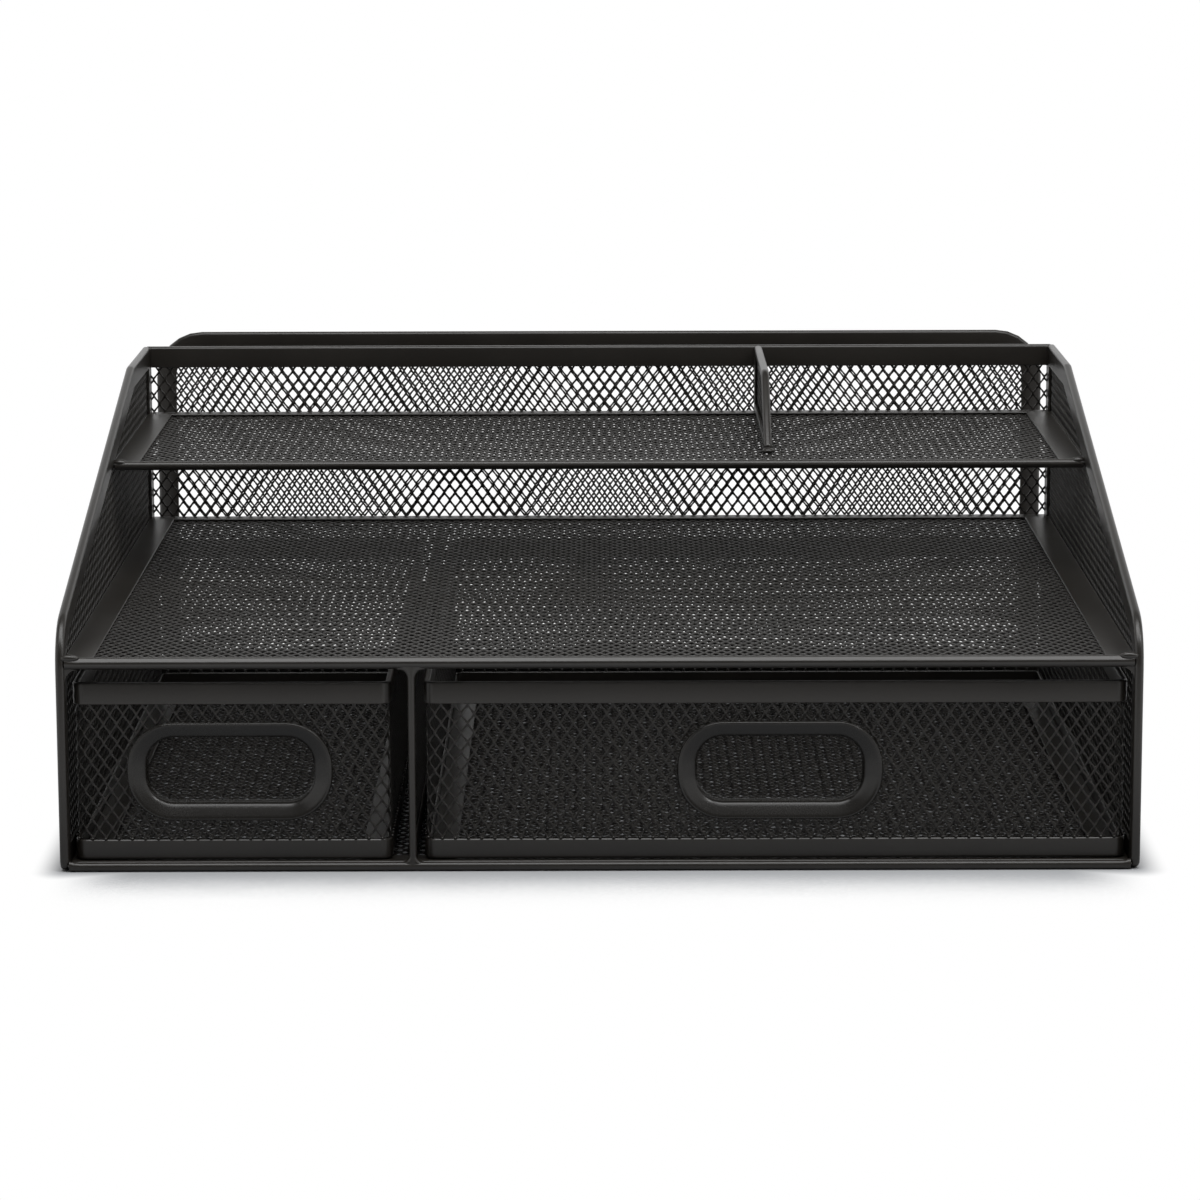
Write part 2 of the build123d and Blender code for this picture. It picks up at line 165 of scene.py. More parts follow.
class ShaderTree:
    """A node tree that is being filled."""

    def __init__(self, tree: bpy.types.NodeTree) -> None:
        """Takes a node tree and empties it."""
        self.tree = tree
        self.tree.nodes.clear()

    @classmethod
    def of_material(cls, name: str) -> tuple[ShaderTree, bpy.types.Material]:
        """Makes a material.

        Args:
            name: The material's name.

        Returns:
            Its empty tree, and the material.
        """
        material = bpy.data.materials.new(name)
        material.use_nodes = True
        return cls(material.node_tree), material

    def node(
        self,
        kind: str,
        settings: dict[str, Any] | None = None,
        inputs: dict[int | str, Any] | None = None,
        output: int | str = 0,
    ) -> Value:
        """Adds one node.

        Args:
            kind: The node's type.
            settings: What is set on the node before its sockets.
            inputs: Numbers, colours or values for its sockets, by name or place.
            output: The socket that is returned.

        Returns:
            The chosen output.
        """
        made = self.tree.nodes.new(kind)
        for name, setting in (settings or {}).items():
            setattr(made, name, setting)
        for name, given in (inputs or {}).items():
            if isinstance(given, Value):
                self.tree.links.new(given.socket, made.inputs[name])
            else:
                made.inputs[name].default_value = given
        sockets = made.outputs
        return Value(self, sockets[output] if len(sockets) else made.inputs[0])

    def noise(self, place: Value, size: float, detail: float = 2.0) -> Value:
        """A noise field whose lumps are about so many millimetres apart."""
        inputs = {"Vector": place, "Scale": 1.0 / (size * MM), "Detail": detail}
        return self.node("ShaderNodeTexNoise", {"noise_dimensions": "3D"}, inputs)

    def mix(self, factor: Value, first: Colour, second: Colour) -> Value:
        """A colour between two."""
        inputs = {0: factor, 6: (*first, 1.0), 7: (*second, 1.0)}
        return self.node("ShaderNodeMix", {"data_type": "RGBA"}, inputs, 2)

    def surface(self, shader: Value) -> None:
        """Ties a shader to the material's output."""
        self.node("ShaderNodeOutputMaterial", None, {"Surface": shader})

    def white_where(self, share: Value, else_shader: Value) -> None:
        """Finishes a material that is plain white by a share and else another shader."""
        white = self.node("ShaderNodeEmission", None, {"Color": (1.0, 1.0, 1.0, 1.0), "Strength": 1.0})
        self.surface(self.node("ShaderNodeMixShader", None, {0: share, 1: else_shader, 2: white}))

    def seen_rays(self, in_gloss: Any = 1.0) -> Value:
        """Tells rays that see a surface from those that only carry light.

        Args:
            in_gloss: The share for rays from gloss.

        Returns:
            One for rays from the camera and through glass, that share for rays from gloss, else zero.
        """
        names = ("Is Camera Ray", "Is Transmission Ray", "Is Glossy Ray")
        camera, through, gloss = (self.node("ShaderNodeLightPath", output=name) for name in names)
        return (camera + through + gloss * in_gloss).at_most(1.0)


@dataclass(frozen=True)
class PowderCoat:
    """Black powder coat on steel: a soft orange peel, a fine grain, faint cloudiness and thin spots."""

    name: str
    deep: Colour
    thin: Colour
    roughness: float
    specular: float
    peel_size: float
    grain_size: float
    peel_depth: float = 0.03
    roughness_swing: float = 0.10
    cloud_size: float = 34.0
    speck_scale: float = 2.6
    speck_range: Flat = (0.7, 0.78)
    tone_range: Flat = (0.3, 0.7)
    tone_shares: Colour = (0.5, 0.3, 0.2)
    height_shares: Flat = (0.8, 0.2)
    bump_strength: float = 0.35

    def make(self) -> bpy.types.Material:
        """Makes the material, whose colour, roughness and bump come from noise fields in the object's own frame.

        Returns:
            The material.
        """
        tree, material = ShaderTree.of_material(self.name)
        place = tree.node("ShaderNodeTexCoord", output="Object")
        cloud = tree.noise(place, self.cloud_size, detail=3.0)
        peel = tree.noise(place, self.peel_size, detail=1.5)
        grain = tree.noise(place, self.grain_size, detail=1.0)
        speck = tree.noise(place, self.grain_size * self.speck_scale, detail=0.0).spread(*self.speck_range)
        clouds, grains = cloud.spread(*self.tone_range), grain.spread(*self.tone_range)
        by_cloud, by_grain, by_speck = self.tone_shares
        tone = clouds * by_cloud + grains * by_grain + speck * by_speck
        rough = self.roughness + (cloud - 0.5) * self.roughness_swing + (grain - 0.5) * self.roughness_swing
        height = peel * self.height_shares[0] + grain * self.height_shares[1]
        bump_inputs = {"Strength": self.bump_strength, "Distance": self.peel_depth * MM, "Height": height}
        normal = tree.node("ShaderNodeBump", None, bump_inputs)
        coat = tree.node(
            "ShaderNodeBsdfPrincipled",
            None,
            {
                "Base Color": tree.mix(tone, self.deep, self.thin),
                "Roughness": rough,
                "Specular IOR Level": self.specular,
                "Normal": normal,
            },
        )
        tree.surface(coat)
        return material


CHANNEL_COAT = PowderCoat(
    name="channel_powder_coat",
    deep=(0.0125, 0.0104, 0.0082),
    thin=(0.0205, 0.0178, 0.0146),
    roughness=0.34,
    specular=0.53,
    peel_size=1.1,
    peel_depth=0.05,
    grain_size=0.35,
)
MESH_COAT = PowderCoat(
    name="mesh_powder_coat",
    deep=(0.0105, 0.0088, 0.0070),
    thin=(0.0180, 0.0156, 0.0128),
    roughness=0.42,
    specular=0.46,
    peel_size=0.8,
    grain_size=0.3,
)
PULL_COAT = PowderCoat(
    name="pull_powder_coat",
    deep=(0.0095, 0.0083, 0.0070),
    thin=(0.0145, 0.0130, 0.0112),
    roughness=0.26,
    specular=0.40,
    roughness_swing=0.08,
    peel_size=1.4,
    grain_size=0.4,
)
FINISHES: dict[Slot, PowderCoat] = {Slot.MESH: MESH_COAT, Slot.CHANNEL: CHANNEL_COAT, Slot.PULL: PULL_COAT}


class Paint:
    """Makes each finish once and gives it to the pieces."""

    def __init__(self) -> None:
        """Makes the materials."""
        self.coats = {slot: finish.make() for slot, finish in FINISHES.items()}

    def dress(self, piece: bpy.types.Object, body: Body, slot: Slot, *nodes: str) -> bpy.types.Object:
        """Coats a piece, ties it to its body and lets it stand for CAD nodes.

        Args:
            piece: The new object.
            body: The body that it moves with.
            slot: The material slot that its finish comes from.
            nodes: The CAD nodes that it replaces.

        Returns:
            The piece.
        """
        piece.data.materials.clear()
        piece.data.materials.append(self.coats[slot])
        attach(piece, body.value)
        if nodes:
            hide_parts(*nodes)
        LOG.info("%s rides on %s, %d faces", piece.name, body.value, len(piece.data.polygons))
        return piece

    def strip(self, node: str, channel: Channel, plane: Plane, length: float) -> None:
        """Makes a folded strip of the housing, drawn out along a plane's normal, that stands for a CAD node."""
        piece = Shell().bar(channel.profile(), plane, length).make(f"{node}_fold")
        self.dress(piece, Body.HOUSING, Slot.CHANNEL, node)


@dataclass(frozen=True)
class Extent:
    """A CAD node's box at rest."""

    low: Point
    high: Point

    @classmethod
    def of(cls, node: str) -> Extent:
        """The box of a node."""
        low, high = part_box(node)
        return cls(tuple(v / MM for v in low), tuple(v / MM for v in high))

    def middle(self, axis: int) -> float:
        """The middle of the box along an axis."""
        return (self.low[axis] + self.high[axis]) / 2

    def size(self, axis: int) -> float:
        """The length of the box along an axis."""
        return self.high[axis] - self.low[axis]


@dataclass(frozen=True)
class Plane:
    """A drawing plane in the model's frame: a point on it and its two axes."""

    origin: Point
    along: Point
    up: Point

    def place(self, u: np.ndarray, v: np.ndarray, h: np.ndarray) -> np.ndarray:
        """Points of the model's frame for places on the plane and heights above it."""
        normal = np.cross(self.along, self.up)
        return np.array(self.origin) + np.outer(u, self.along) + np.outer(v, self.up) + np.outer(h, normal)


@dataclass
class Shell:
    """Points and faces that become one mesh."""

    points: list[np.ndarray] = field(default_factory=list)
    faces: list[tuple[int, ...]] = field(default_factory=list)
    count: int = 0

    def add(self, points: np.ndarray, faces: Sequence[tuple[int, ...]]) -> Shell:
        """Adds points and the faces between them.

        Args:
            points: The points, one a row.
            faces: The point numbers of each face.

        Returns:
            The shell.
        """
        self.points.append(points)
        self.faces += [tuple(i + self.count for i in face) for face in faces]
        self.count += len(points)
        return self

    def loft(self, rows: Sequence[np.ndarray], closed: bool) -> Shell:
        """Adds a skin over rows of points that are closed loops.

        Args:
            rows: Loops with the same number of points each.
            closed: Whether the last row joins the first, or both ends are capped.

        Returns:
            The shell.
        """
        size = len(rows[0])
        spans = len(rows) if closed else len(rows) - 1
        faces: list[tuple[int, ...]] = []
        for row in range(spans):
            here, there = row * size, (row + 1) % len(rows) * size
            for k in range(size):
                after = (k + 1) % size
                faces.append((here + k, here + after, there + after, there + k))
        if not closed:
            faces += [tuple(range(size)), tuple(range((len(rows) - 1) * size, len(rows) * size))]
        return self.add(np.concatenate(rows), faces)

    def ring(self, corners: Outline, radii: Sequence[float], profile: Outline, plane: Plane) -> Shell:
        """Adds a closed band along an outline.

        Args:
            corners: The outline's corners, anticlockwise on the plane.
            radii: Their radii.
            profile: The band's section as insets from the outline and heights above the plane.
            plane: Where the outline lies.

        Returns:
            The shell.
        """
        rows = []
        for inset, height in profile:
            outline = inset_outline(corners, radii, inset)
            rows.append(plane.place(outline[:, 0], outline[:, 1], np.full(len(outline), height)))
        return self.loft(rows, closed=True)

    def bar(self, profile: Outline, plane: Plane, length: float) -> Shell:
        """Adds a straight bar.

        Args:
            profile: The bar's section.
            plane: Where the section lies. The bar is drawn out along its normal.
            length: How long the bar is.

        Returns:
            The shell.
        """
        section = np.array(profile)
        ends = (0.0, length)
        rows = [plane.place(section[:, 0], section[:, 1], np.full(len(section), end)) for end in ends]
        return self.loft(rows, closed=False)

    def bead(self, centre: Point, reach: Point, seed: float) -> Shell:
        """Adds a lump of weld under paint.

        Args:
            centre: Its middle.
            reach: Its half sizes.
            seed: Where in the noise field its lumps come from.

        Returns:
            The shell.
        """
        turns = np.linspace(0, 2 * math.pi, BEAD_SIDES, endpoint=False)
        rows = []
        for lift in np.linspace(-BEAD_LIFT, BEAD_LIFT, BEAD_ROWS):
            row = []
            for turn in turns:
                ray = Vector((math.cos(lift) * math.cos(turn), math.cos(lift) * math.sin(turn), math.sin(lift)))
                swell = 1 + LUMP_DEPTH * noise.noise(ray * LUMP_SCALE + Vector((seed, 0, 0)))
                row.append([c + r * x * swell for c, r, x in zip(centre, reach, ray)])
            rows.append(np.array(row))
        return self.loft(rows, closed=False)

    def make(self, name: str, sharp_angle: float = 38.0) -> bpy.types.Object:
        """Makes the object.

        Args:
            name: The object's name.
            sharp_angle: Edges that bend more than this many degrees stay sharp.

        Returns:
            A new object at the origin, with its normals facing out.
        """
        mesh = bpy.data.meshes.new(name)
        mesh.from_pydata((np.concatenate(self.points) * MM).tolist(), [], self.faces)
        work = bmesh.new()
        work.from_mesh(mesh)
        bmesh.ops.recalc_face_normals(work, faces=work.faces)
        work.to_mesh(mesh)
        work.free()
        mesh.shade_smooth()
        mesh.set_sharp_from_angle(angle=math.radians(sharp_angle))
        return link(name, mesh)


def link(name: str, data: bpy.types.ID) -> bpy.types.Object:
    """Puts data into the scene.

    Args:
        name: The new object's name.
        data: Its mesh, lamp or lens.

    Returns:
        The object.
    """
    made = bpy.data.objects.new(name, data)
    bpy.context.scene.collection.objects.link(made)
    return made


def inset_corners(corners: Outline, inset: float) -> list[Flat]:
    """Moves every edge of a convex outline inwards.

    Args:
        corners: The outline's corners, anticlockwise.
        inset: How far the edges move.

    Returns:
        The new corners.
    """
    points = [Vector(corner) for corner in corners]
    lines = []
    for here, there in zip(points, points[1:] + points[:1]):
        run = (there - here).normalized()
        lines.append((here + Vector((-run.y, run.x)) * inset, run))
    found = []
    for (first, first_run), (second, second_run) in zip(lines[-1:] + lines[:-1], lines):
        across = first_run.x * second_run.y - first_run.y * second_run.x
        gap = second - first
        step = (gap.x * second_run.y - gap.y * second_run.x) / across
        found.append(tuple(first + first_run * step))
    return found


def rounded_outline(corners: Outline, radii: Sequence[float], steps: int = CORNER_STEPS) -> np.ndarray:
    """Points round an outline whose corners are rounded.

    Args:
        corners: The corners, anticlockwise.
        radii: Their radii.
        steps: How many points each corner's arc has.

    Returns:
        The points, as many for each corner.
    """
    points = [Vector(corner) for corner in corners]
    found = []
    for k, corner in enumerate(points):
        before = (points[k - 1] - corner).normalized()
        after = (points[(k + 1) % len(points)] - corner).normalized()
        half = before.angle(after) / 2
        middle = corner + (before + after).normalized() * (radii[k] / math.sin(half))
        first = corner + before * (radii[k] / math.tan(half)) - middle
        sweep = math.pi - 2 * half
        for step in range(steps):
            turn = sweep * step / (steps - 1)
            cos, sin = math.cos(turn), math.sin(turn)
            found.append((middle.x + first.x * cos - first.y * sin, middle.y + first.x * sin + first.y * cos))
    return np.array(found)


def inset_outline(corners: Outline, radii: Sequence[float], inset: float) -> np.ndarray:
    """Points round an outline with rounded corners that has been moved inwards."""
    return rounded_outline(inset_corners(corners, inset), [max(radius - inset, LEAST_RADIUS) for radius in radii])


def rectangle(low_u: float, low_v: float, high_u: float, high_v: float) -> list[Flat]:
    """A rectangle's corners, anticlockwise."""
    return [(low_u, low_v), (high_u, low_v), (high_u, high_v), (low_u, high_v)]


def within(outline: np.ndarray) -> Keep:
    """Makes a test for places inside a convex outline.

    Args:
        outline: The outline's points, anticlockwise.

    Returns:
        The test.
    """
    starts = np.asarray(outline, float)
    runs = np.roll(starts, -1, axis=0) - starts

    def keep(u: np.ndarray, v: np.ndarray) -> np.ndarray:
        """Tests places on the outline's plane.

        Args:
            u: How far along the plane they are.
            v: How far up it they are.

        Returns:
            Whether each is inside.
        """
        inside = np.ones(u.shape, bool)
        for start, run in zip(starts, runs):
            inside &= run[0] * (v - start[1]) - run[1] * (u - start[0]) >= 0
        return inside

    return keep


@dataclass(frozen=True)
class Channel:
    """A strip folded over the edge of a sheet, with a rounded fold and flanges pinched onto the sheet."""

    width: float
    thickness: float
    wall: float = 0.7
    fold_radius: float = 1.0
    pinch: float = 0.2
    tip_radius: float = 0.25
    fold_steps: int = 5

    def profile(self) -> list[Flat]:
        """Draws the section.

        Returns:
            Distances from the fold, and heights about the sheet's middle.
        """
        half = self.thickness / 2
        tip_half = half - self.pinch
        radius = min(self.fold_radius, half)
        turns = [math.pi / 2 * k / (self.fold_steps - 1) for k in range(self.fold_steps)]
        upper = [(radius - radius * math.sin(t), half - radius + radius * math.cos(t)) for t in turns]
        upper = [(self.width, tip_half - self.tip_radius), (self.width - self.tip_radius, tip_half), *upper]
        lower = [(distance, -height) for distance, height in reversed(upper)]
        inside = tip_half - self.wall
        groove = [(self.width, -inside), (self.wall, -inside), (self.wall, inside), (self.width, inside)]
        return upper + lower + groove

    def standing(self, fold_level: float, rises: bool) -> list[Flat]:
        """Draws the section of a band round upright walls.

        Args:
            fold_level: The height of the fold.
            rises: Whether the band rises from its fold or hangs from it.

        Returns:
            Insets from the band's outer face, and heights.
        """
        way = 1 if rises else -1
        half = self.thickness / 2
        return [(half - height, fold_level + way * distance) for distance, height in self.profile()]


@dataclass(frozen=True)
class ExpandedSheet:
    """Steel sheet slit and drawn open into diamonds: bonds joined by strands.

    The lift tips the bonds the long way and the lean the short way. Twisted strands lean the other way at their
    waists.
    """

    short_pitch: float = 4.27
    long_pitch: float = 6.2
    bond_half_short: float = 0.34
    bond_half_long: float = 0.86
    gauge: float = 0.42
    lift: float = 0.24
    lean: float = 0.0
    waist: float = 0.30
    twisted: bool = False

    def build(
        self,
        name: str,
        span_u: Flat,
        span_v: Flat,
        place: Placer,
        keep: Keep | None = None,
        closed: bool = False,
        columns: int = 0,
    ) -> bpy.types.Object:
        """Makes a sheet as one watertight mesh.

        Args:
            name: The object's name.
            span_u: From where to where it runs the short way of the diamonds.
            span_v: From where to where it runs the long way.
            place: Gives the points of places on the sheet and heights above it.
            keep: A test for the places that have sheet.
            closed: Whether the sheet's ends meet, so that it is a loop.
            columns: How many diamonds it has the short way, if not the pitch's own number.

        Returns:
            A new object at the origin.
        """
        columns = columns or max(1, round((span_u[1] - span_u[0]) / self.short_pitch))
        rows = max(1, round((span_v[1] - span_v[0]) / self.long_pitch))
        half_u = (span_u[1] - span_u[0]) / columns / 2
        half_v = (span_v[1] - span_v[0]) / rows / 2
        across = 2 * columns + (0 if closed else 1)
        column, row = np.meshgrid(np.arange(across), np.arange(2 * rows + 1), indexing="ij")
        bonds_u, bonds_v = span_u[0] + column * half_u, span_v[0] + row * half_v
        has_bond = (column + row) % 2 == 0
        if keep is not None:
            has_bond &= keep(bonds_u, bonds_v)
        number = np.full(has_bond.shape, -1)
        number[has_bond] = np.arange(has_bond.sum())
        u, v = bonds_u[has_bond], bonds_v[has_bond]
        at = column[has_bond], row[has_bond]

        def neighbour(step_u: int, step_v: int) -> np.ndarray:
            """Finds the bond next to each bond.

            Args:
                step_u: How many half pitches away it is the short way.
                step_v: How many the long way.

            Returns:
                Its number, or -1 where there is none.
            """
            there_u, there_v = at[0] + step_u, at[1] + step_v
            if closed:
                there_u = there_u % across
            real = (there_u >= 0) & (there_u < across) & (there_v >= 0) & (there_v < number.shape[1])
            found = np.full(len(u), -1)
            found[real] = number[there_u[real], there_v[real]]
            return found

        reach_u = np.array([1, 0, -1, 0]) * self.bond_half_short
        reach_v = np.array([0, 1, 0, -1]) * self.bond_half_long
        slant = np.array([self.lean, self.lift, -self.lean, -self.lift])
        flat_u = u[:, None] + np.tile(reach_u, 2)
        flat_v = v[:, None] + np.tile(reach_v, 2)
        height = np.tile(np.concatenate([slant + self.gauge / 2, slant - self.gauge / 2]), (len(u), 1))
        spots = np.stack([flat_u, flat_v, height], -1).reshape(-1, 3)
        strands = [neighbour(*step) for step in ((1, 1), (-1, 1), (-1, -1), (1, -1))]
        loop = 2 * columns * half_u if closed else 0.0
        spots, faces = self._skin(spots, strands, loop)
        mesh = self._mesh(name, place(*spots.T), faces)
        self._lay_flat(mesh, faces, spots[:, 0] + BAKE_LEAN * spots[:, 2], spots[:, 1], loop)
        return link(name, mesh)

    def _skin(self, spots: np.ndarray, strands: list[np.ndarray], loop: float) -> tuple[np.ndarray, np.ndarray]:
        """The sheet's points and faces.

        Args:
            spots: Eight points for each bond: right, top, left and bottom, above and then below.
            strands: For each bond, the numbers of the bonds up right, up left, down left and down right, or -1.
            loop: The length of a closed sheet, or zero.

        Returns:
            The points, with those at the strands' waists added, and four point numbers a face.
        """
        bond = BOND_POINTS * np.arange(len(strands[0]))
        faces = [np.stack([bond + k for k in (0, 1, 2, 3)], 1), np.stack([bond + k for k in (7, 6, 5, 4)], 1)]

        def wall(start: np.ndarray, end: np.ndarray) -> np.ndarray:
            """The edge of the sheet between two upper points, with the outside on the right."""
            return np.stack([start + FACE_POINTS, end + FACE_POINTS, end, start], 1)

        for k, there in enumerate(strands):
            ends = bond[there < 0]
            faces.append(wall(ends + k, ends + (k + 1) % 4))
        for k, there in enumerate(strands[:2]):
            here, far = bond[there >= 0], BOND_POINTS * there[there >= 0]
            near_right, near_left = here + k, here + (k + 1) % 4
            far_right, far_left = far + (k + 3) % 4, far + (k + 2) % 4
            if self.waist <= 0:
                stretches = [(near_right, far_right, far_left, near_left)]
            else:
                waists = []
                for layer in (0, FACE_POINTS):
                    ends = [spots[corner + layer] for corner in (near_right, near_left, far_right, far_left)]
                    if loop:
                        turned = (ends[0][:, :1] - ends[2][:, :1]) / loop
                        ends[2:] = [end + np.round(turned) * (loop, 0, 0) for end in ends[2:]]
                    right, left = (ends[0] + ends[2]) / 2, (ends[1] + ends[3]) / 2
                    if self.twisted:
                        right[:, 2], left[:, 2] = left[:, 2].copy(), right[:, 2].copy()
                    draw = (left - right) * self.waist / 2
                    waists += [right + draw, left - draw]
                # A block has eight points like a bond. Those that no face uses are dropped at the end.
                blank = waists[0]
                block = np.stack([*waists[:2], blank, blank, *waists[2:], blank, blank], 1)
                middle_right = len(spots) + BOND_POINTS * np.arange(len(here))
                middle_left = middle_right + 1
                spots = np.concatenate([spots, block.reshape(-1, 3)])
                stretches = [
                    (near_right, middle_right, middle_left, near_left),
                    (middle_right, far_right, far_left, middle_left),
                ]
            for corners in stretches:
                faces.append(np.stack(corners, 1))
                faces.append(np.stack([corner + FACE_POINTS for corner in reversed(corners)], 1))
                faces += [wall(corners[0], corners[1]), wall(corners[2], corners[3])]
        faces = np.concatenate(faces)
        used, numbers = np.unique(faces, return_inverse=True)
        return spots[used], numbers.reshape(faces.shape)

    @staticmethod
    def _mesh(name: str, points: np.ndarray, faces: np.ndarray) -> bpy.types.Mesh:
        """Makes a mesh of four-sided faces.

        Args:
            name: The mesh's name.
            points: The points, one a row.
            faces: Four point numbers a face.

        Returns:
            The mesh.
        """
        mesh = bpy.data.meshes.new(name)
        mesh.vertices.add(len(points))
        mesh.vertices.foreach_set("co", (points * MM).astype(np.float32).ravel())
        mesh.loops.add(faces.size)
        mesh.loops.foreach_set("vertex_index", faces.astype(np.int32).ravel())
        mesh.polygons.add(len(faces))
        mesh.polygons.foreach_set("loop_start", np.arange(0, faces.size, 4, dtype=np.int32))
        mesh.update(calc_edges=True)
        return mesh

    @staticmethod
    def _lay_flat(mesh: bpy.types.Mesh, faces: np.ndarray, u: np.ndarray, v: np.ndarray, loop: float) -> None:
        """Gives a mesh a flat texture map from its points' places.

        Args:
            mesh: The mesh.
            faces: The point numbers of its faces.
            u: The points' places one way.
            v: Their places the other way.
            loop: The length of a closed sheet, or zero.
        """
        face_u, face_v = u[faces], v[faces]
        if loop:
            face_u = np.where(face_u.max(1, keepdims=True) - face_u > loop / 2, face_u + loop, face_u)
        low = np.array([face_u.min(), face_v.min()])
        size = max(np.ptp(face_u), np.ptp(face_v)) * BAKE_ROOM
        spots = (np.stack([face_u, face_v], -1) - low) / size + BAKE_MARGIN
        mesh.uv_layers.new(name=BAKE_MAP).data.foreach_set("uv", spots.astype(np.float32).ravel())


WALL_SHEET = ExpandedSheet()
SHELF_SHEET = ExpandedSheet(
    short_pitch=3.77, bond_half_short=0.33, bond_half_long=0.78, gauge=0.59, lift=-0.02, waist=0.0
)
FLOOR_SHEET = ExpandedSheet(
    short_pitch=3.77, bond_half_short=0.33, bond_half_long=0.66, gauge=0.46, lift=0.0, waist=0.0
)
DRAWER_FLOOR_SHEET = ExpandedSheet(
    short_pitch=4.85,
    long_pitch=6.3,
    bond_half_short=0.36,
    bond_half_long=0.70,
    gauge=0.22,
    lift=0.0,
    lean=0.36,
    waist=0.35,
    twisted=True,
)
UPPER_SHELF_SHEET = replace(SHELF_SHEET, bond_half_long=0.72, gauge=0.49)
ALONG_X, ALONG_Y, ALONG_Z = (1.0, 0.0, 0.0), (0.0, 1.0, 0.0), (0.0, 0.0, 1.0)
FRONTWARD, SIDEWARD, UPWARD = (ALONG_X, ALONG_Z), (ALONG_Y, ALONG_Z), (ALONG_X, ALONG_Y)
THIN_STRIP = Channel(8.3, 2.2, wall=0.4, fold_radius=0.6, pinch=0.1, tip_radius=0.2)


@dataclass(frozen=True)
class Rim:
    """A folded rim of the housing and the sheet that is seated in it."""

    channel: Channel
    radii: tuple[float, ...]
    seat: float = 4.6

    def build(self, paint: Paint, name: str, corners: Outline, plane: Plane, columns: int = 0) -> None:
        """Makes the rim and the sheet.

        Args:
            paint: What coats them.
            name: What the names of both begin with.
            corners: The rim's outline, anticlockwise on the plane.
            plane: Where the outline lies.
            columns: How many diamonds the sheet has the short way, if not the pitch's own number.
        """
        fold = Shell().ring(corners, self.radii, self.channel.profile(), plane).make(f"{name}_rim_fold")
        paint.dress(fold, Body.HOUSING, Slot.CHANNEL, f"{name}_rim")
        inset = self.channel.width - self.seat
        seated = within(inset_outline(corners, self.radii, inset))
        spans = [(min(run) + inset, max(run) - inset) for run in zip(*corners)]
        sheet = WALL_SHEET.build(f"{name}_sheet", *spans, plane.place, seated, columns=columns)
        paint.dress(sheet, Body.HOUSING, Slot.MESH, f"{name}_mesh")


@dataclass(frozen=True)
class StripWall:
    """A sheet of the housing between a strip folded over its head and one folded over its foot."""

    strip: Channel
    sheet_gap: float = 0.0
    seat: float = 4.6

    def build(self, paint: Paint, name: str, head_name: str, plane: Plane, ends: Flat) -> None:
        """Makes the head, the foot and the sheet.

        Args:
            paint: What coats them.
            name: What their names begin with.
            head_name: What the head is called.
            plane: The sheet's plane.
            ends: From where to where the strips run on it.
        """
        nodes = [f"{name}_{part}" for part in (head_name, "foot")]
        head, foot = (Extent.of(node) for node in nodes)
        facing = np.cross(plane.along, plane.up)
        for node, fold, way in zip(nodes, (head.high[2], foot.low[2]), (-1.0, 1.0)):
            start = plane.place(np.array([ends[0]]), np.array([fold]), np.zeros(1))[0]
            strip_plane = Plane(tuple(start), (0.0, 0.0, way), tuple(way * facing))
            paint.strip(node, self.strip, strip_plane, ends[1] - ends[0])
        span_u = (ends[0] + self.sheet_gap, ends[1] - self.sheet_gap)
        span_v = (foot.high[2] - self.seat, head.low[2] + self.seat)
        sheet = WALL_SHEET.build(f"{name}_sheet", span_u, span_v, plane.place)
        paint.dress(sheet, Body.HOUSING, Slot.MESH, f"{name}_mesh")


@dataclass
class SidePanel:
    """One side of the organizer: a rim with an upright front, a sloped top and a level end, and its sheet."""

    paint: Paint
    side: Side
    front_height: float = 80.0
    level_length: float = 62.0
    rim: Rim = Rim(Channel(8.0, 3.0, wall=0.8, fold_radius=1.2), (4.0, 4.0, 4.0, 10.0, 17.0))

    def build(self) -> None:
        """Makes the rim and the sheet."""
        name = f"{self.side.name.lower()}_side"
        box = Extent.of(f"{name}_rim")
        front, back, top = box.low[1], box.high[1], box.high[2]
        slope = [(back - self.level_length, top), (front, self.front_height)]
        corners = [(front, 0.0), (back, 0.0), (back, top), *slope]
        self.rim.build(self.paint, name, corners, Plane((box.middle(0), 0.0, 0.0), *SIDEWARD))


@dataclass
class LetterPanel:
    """The panel behind the letter slot, with large upper corners."""

    paint: Paint
    rim: Rim = Rim(Channel(7.5, 3.0, wall=0.8, fold_radius=1.2), (3.0, 3.0, 18.0, 18.0))
    columns: int = 81

    def build(self) -> None:
        """Makes the rim and the sheet."""
        box = Extent.of("letter_panel_rim")
        corners = rectangle(-box.high[0], 0.0, box.high[0], box.high[2])
        plane = Plane((0.0, box.middle(1), 0.0), *FRONTWARD)
        self.rim.build(self.paint, "letter_panel", corners, plane, self.columns)


@dataclass
class BackWall:
    """The wall between the side panels: top rail, foot strip and sheet."""

    paint: Paint
    side_reach: float = 1.2
    wall: StripWall = StripWall(Channel(8.0, 3.0, wall=0.8, fold_radius=1.1))

    def build(self) -> None:
        """Makes the rail, the foot and the sheet."""
        rail = Extent.of("back_wall_rail")
        reach = rail.high[0] + self.side_reach
        plane = Plane((0.0, rail.middle(1), 0.0), *FRONTWARD)
        self.wall.build(self.paint, "back_wall", "rail", plane, (-reach, reach))


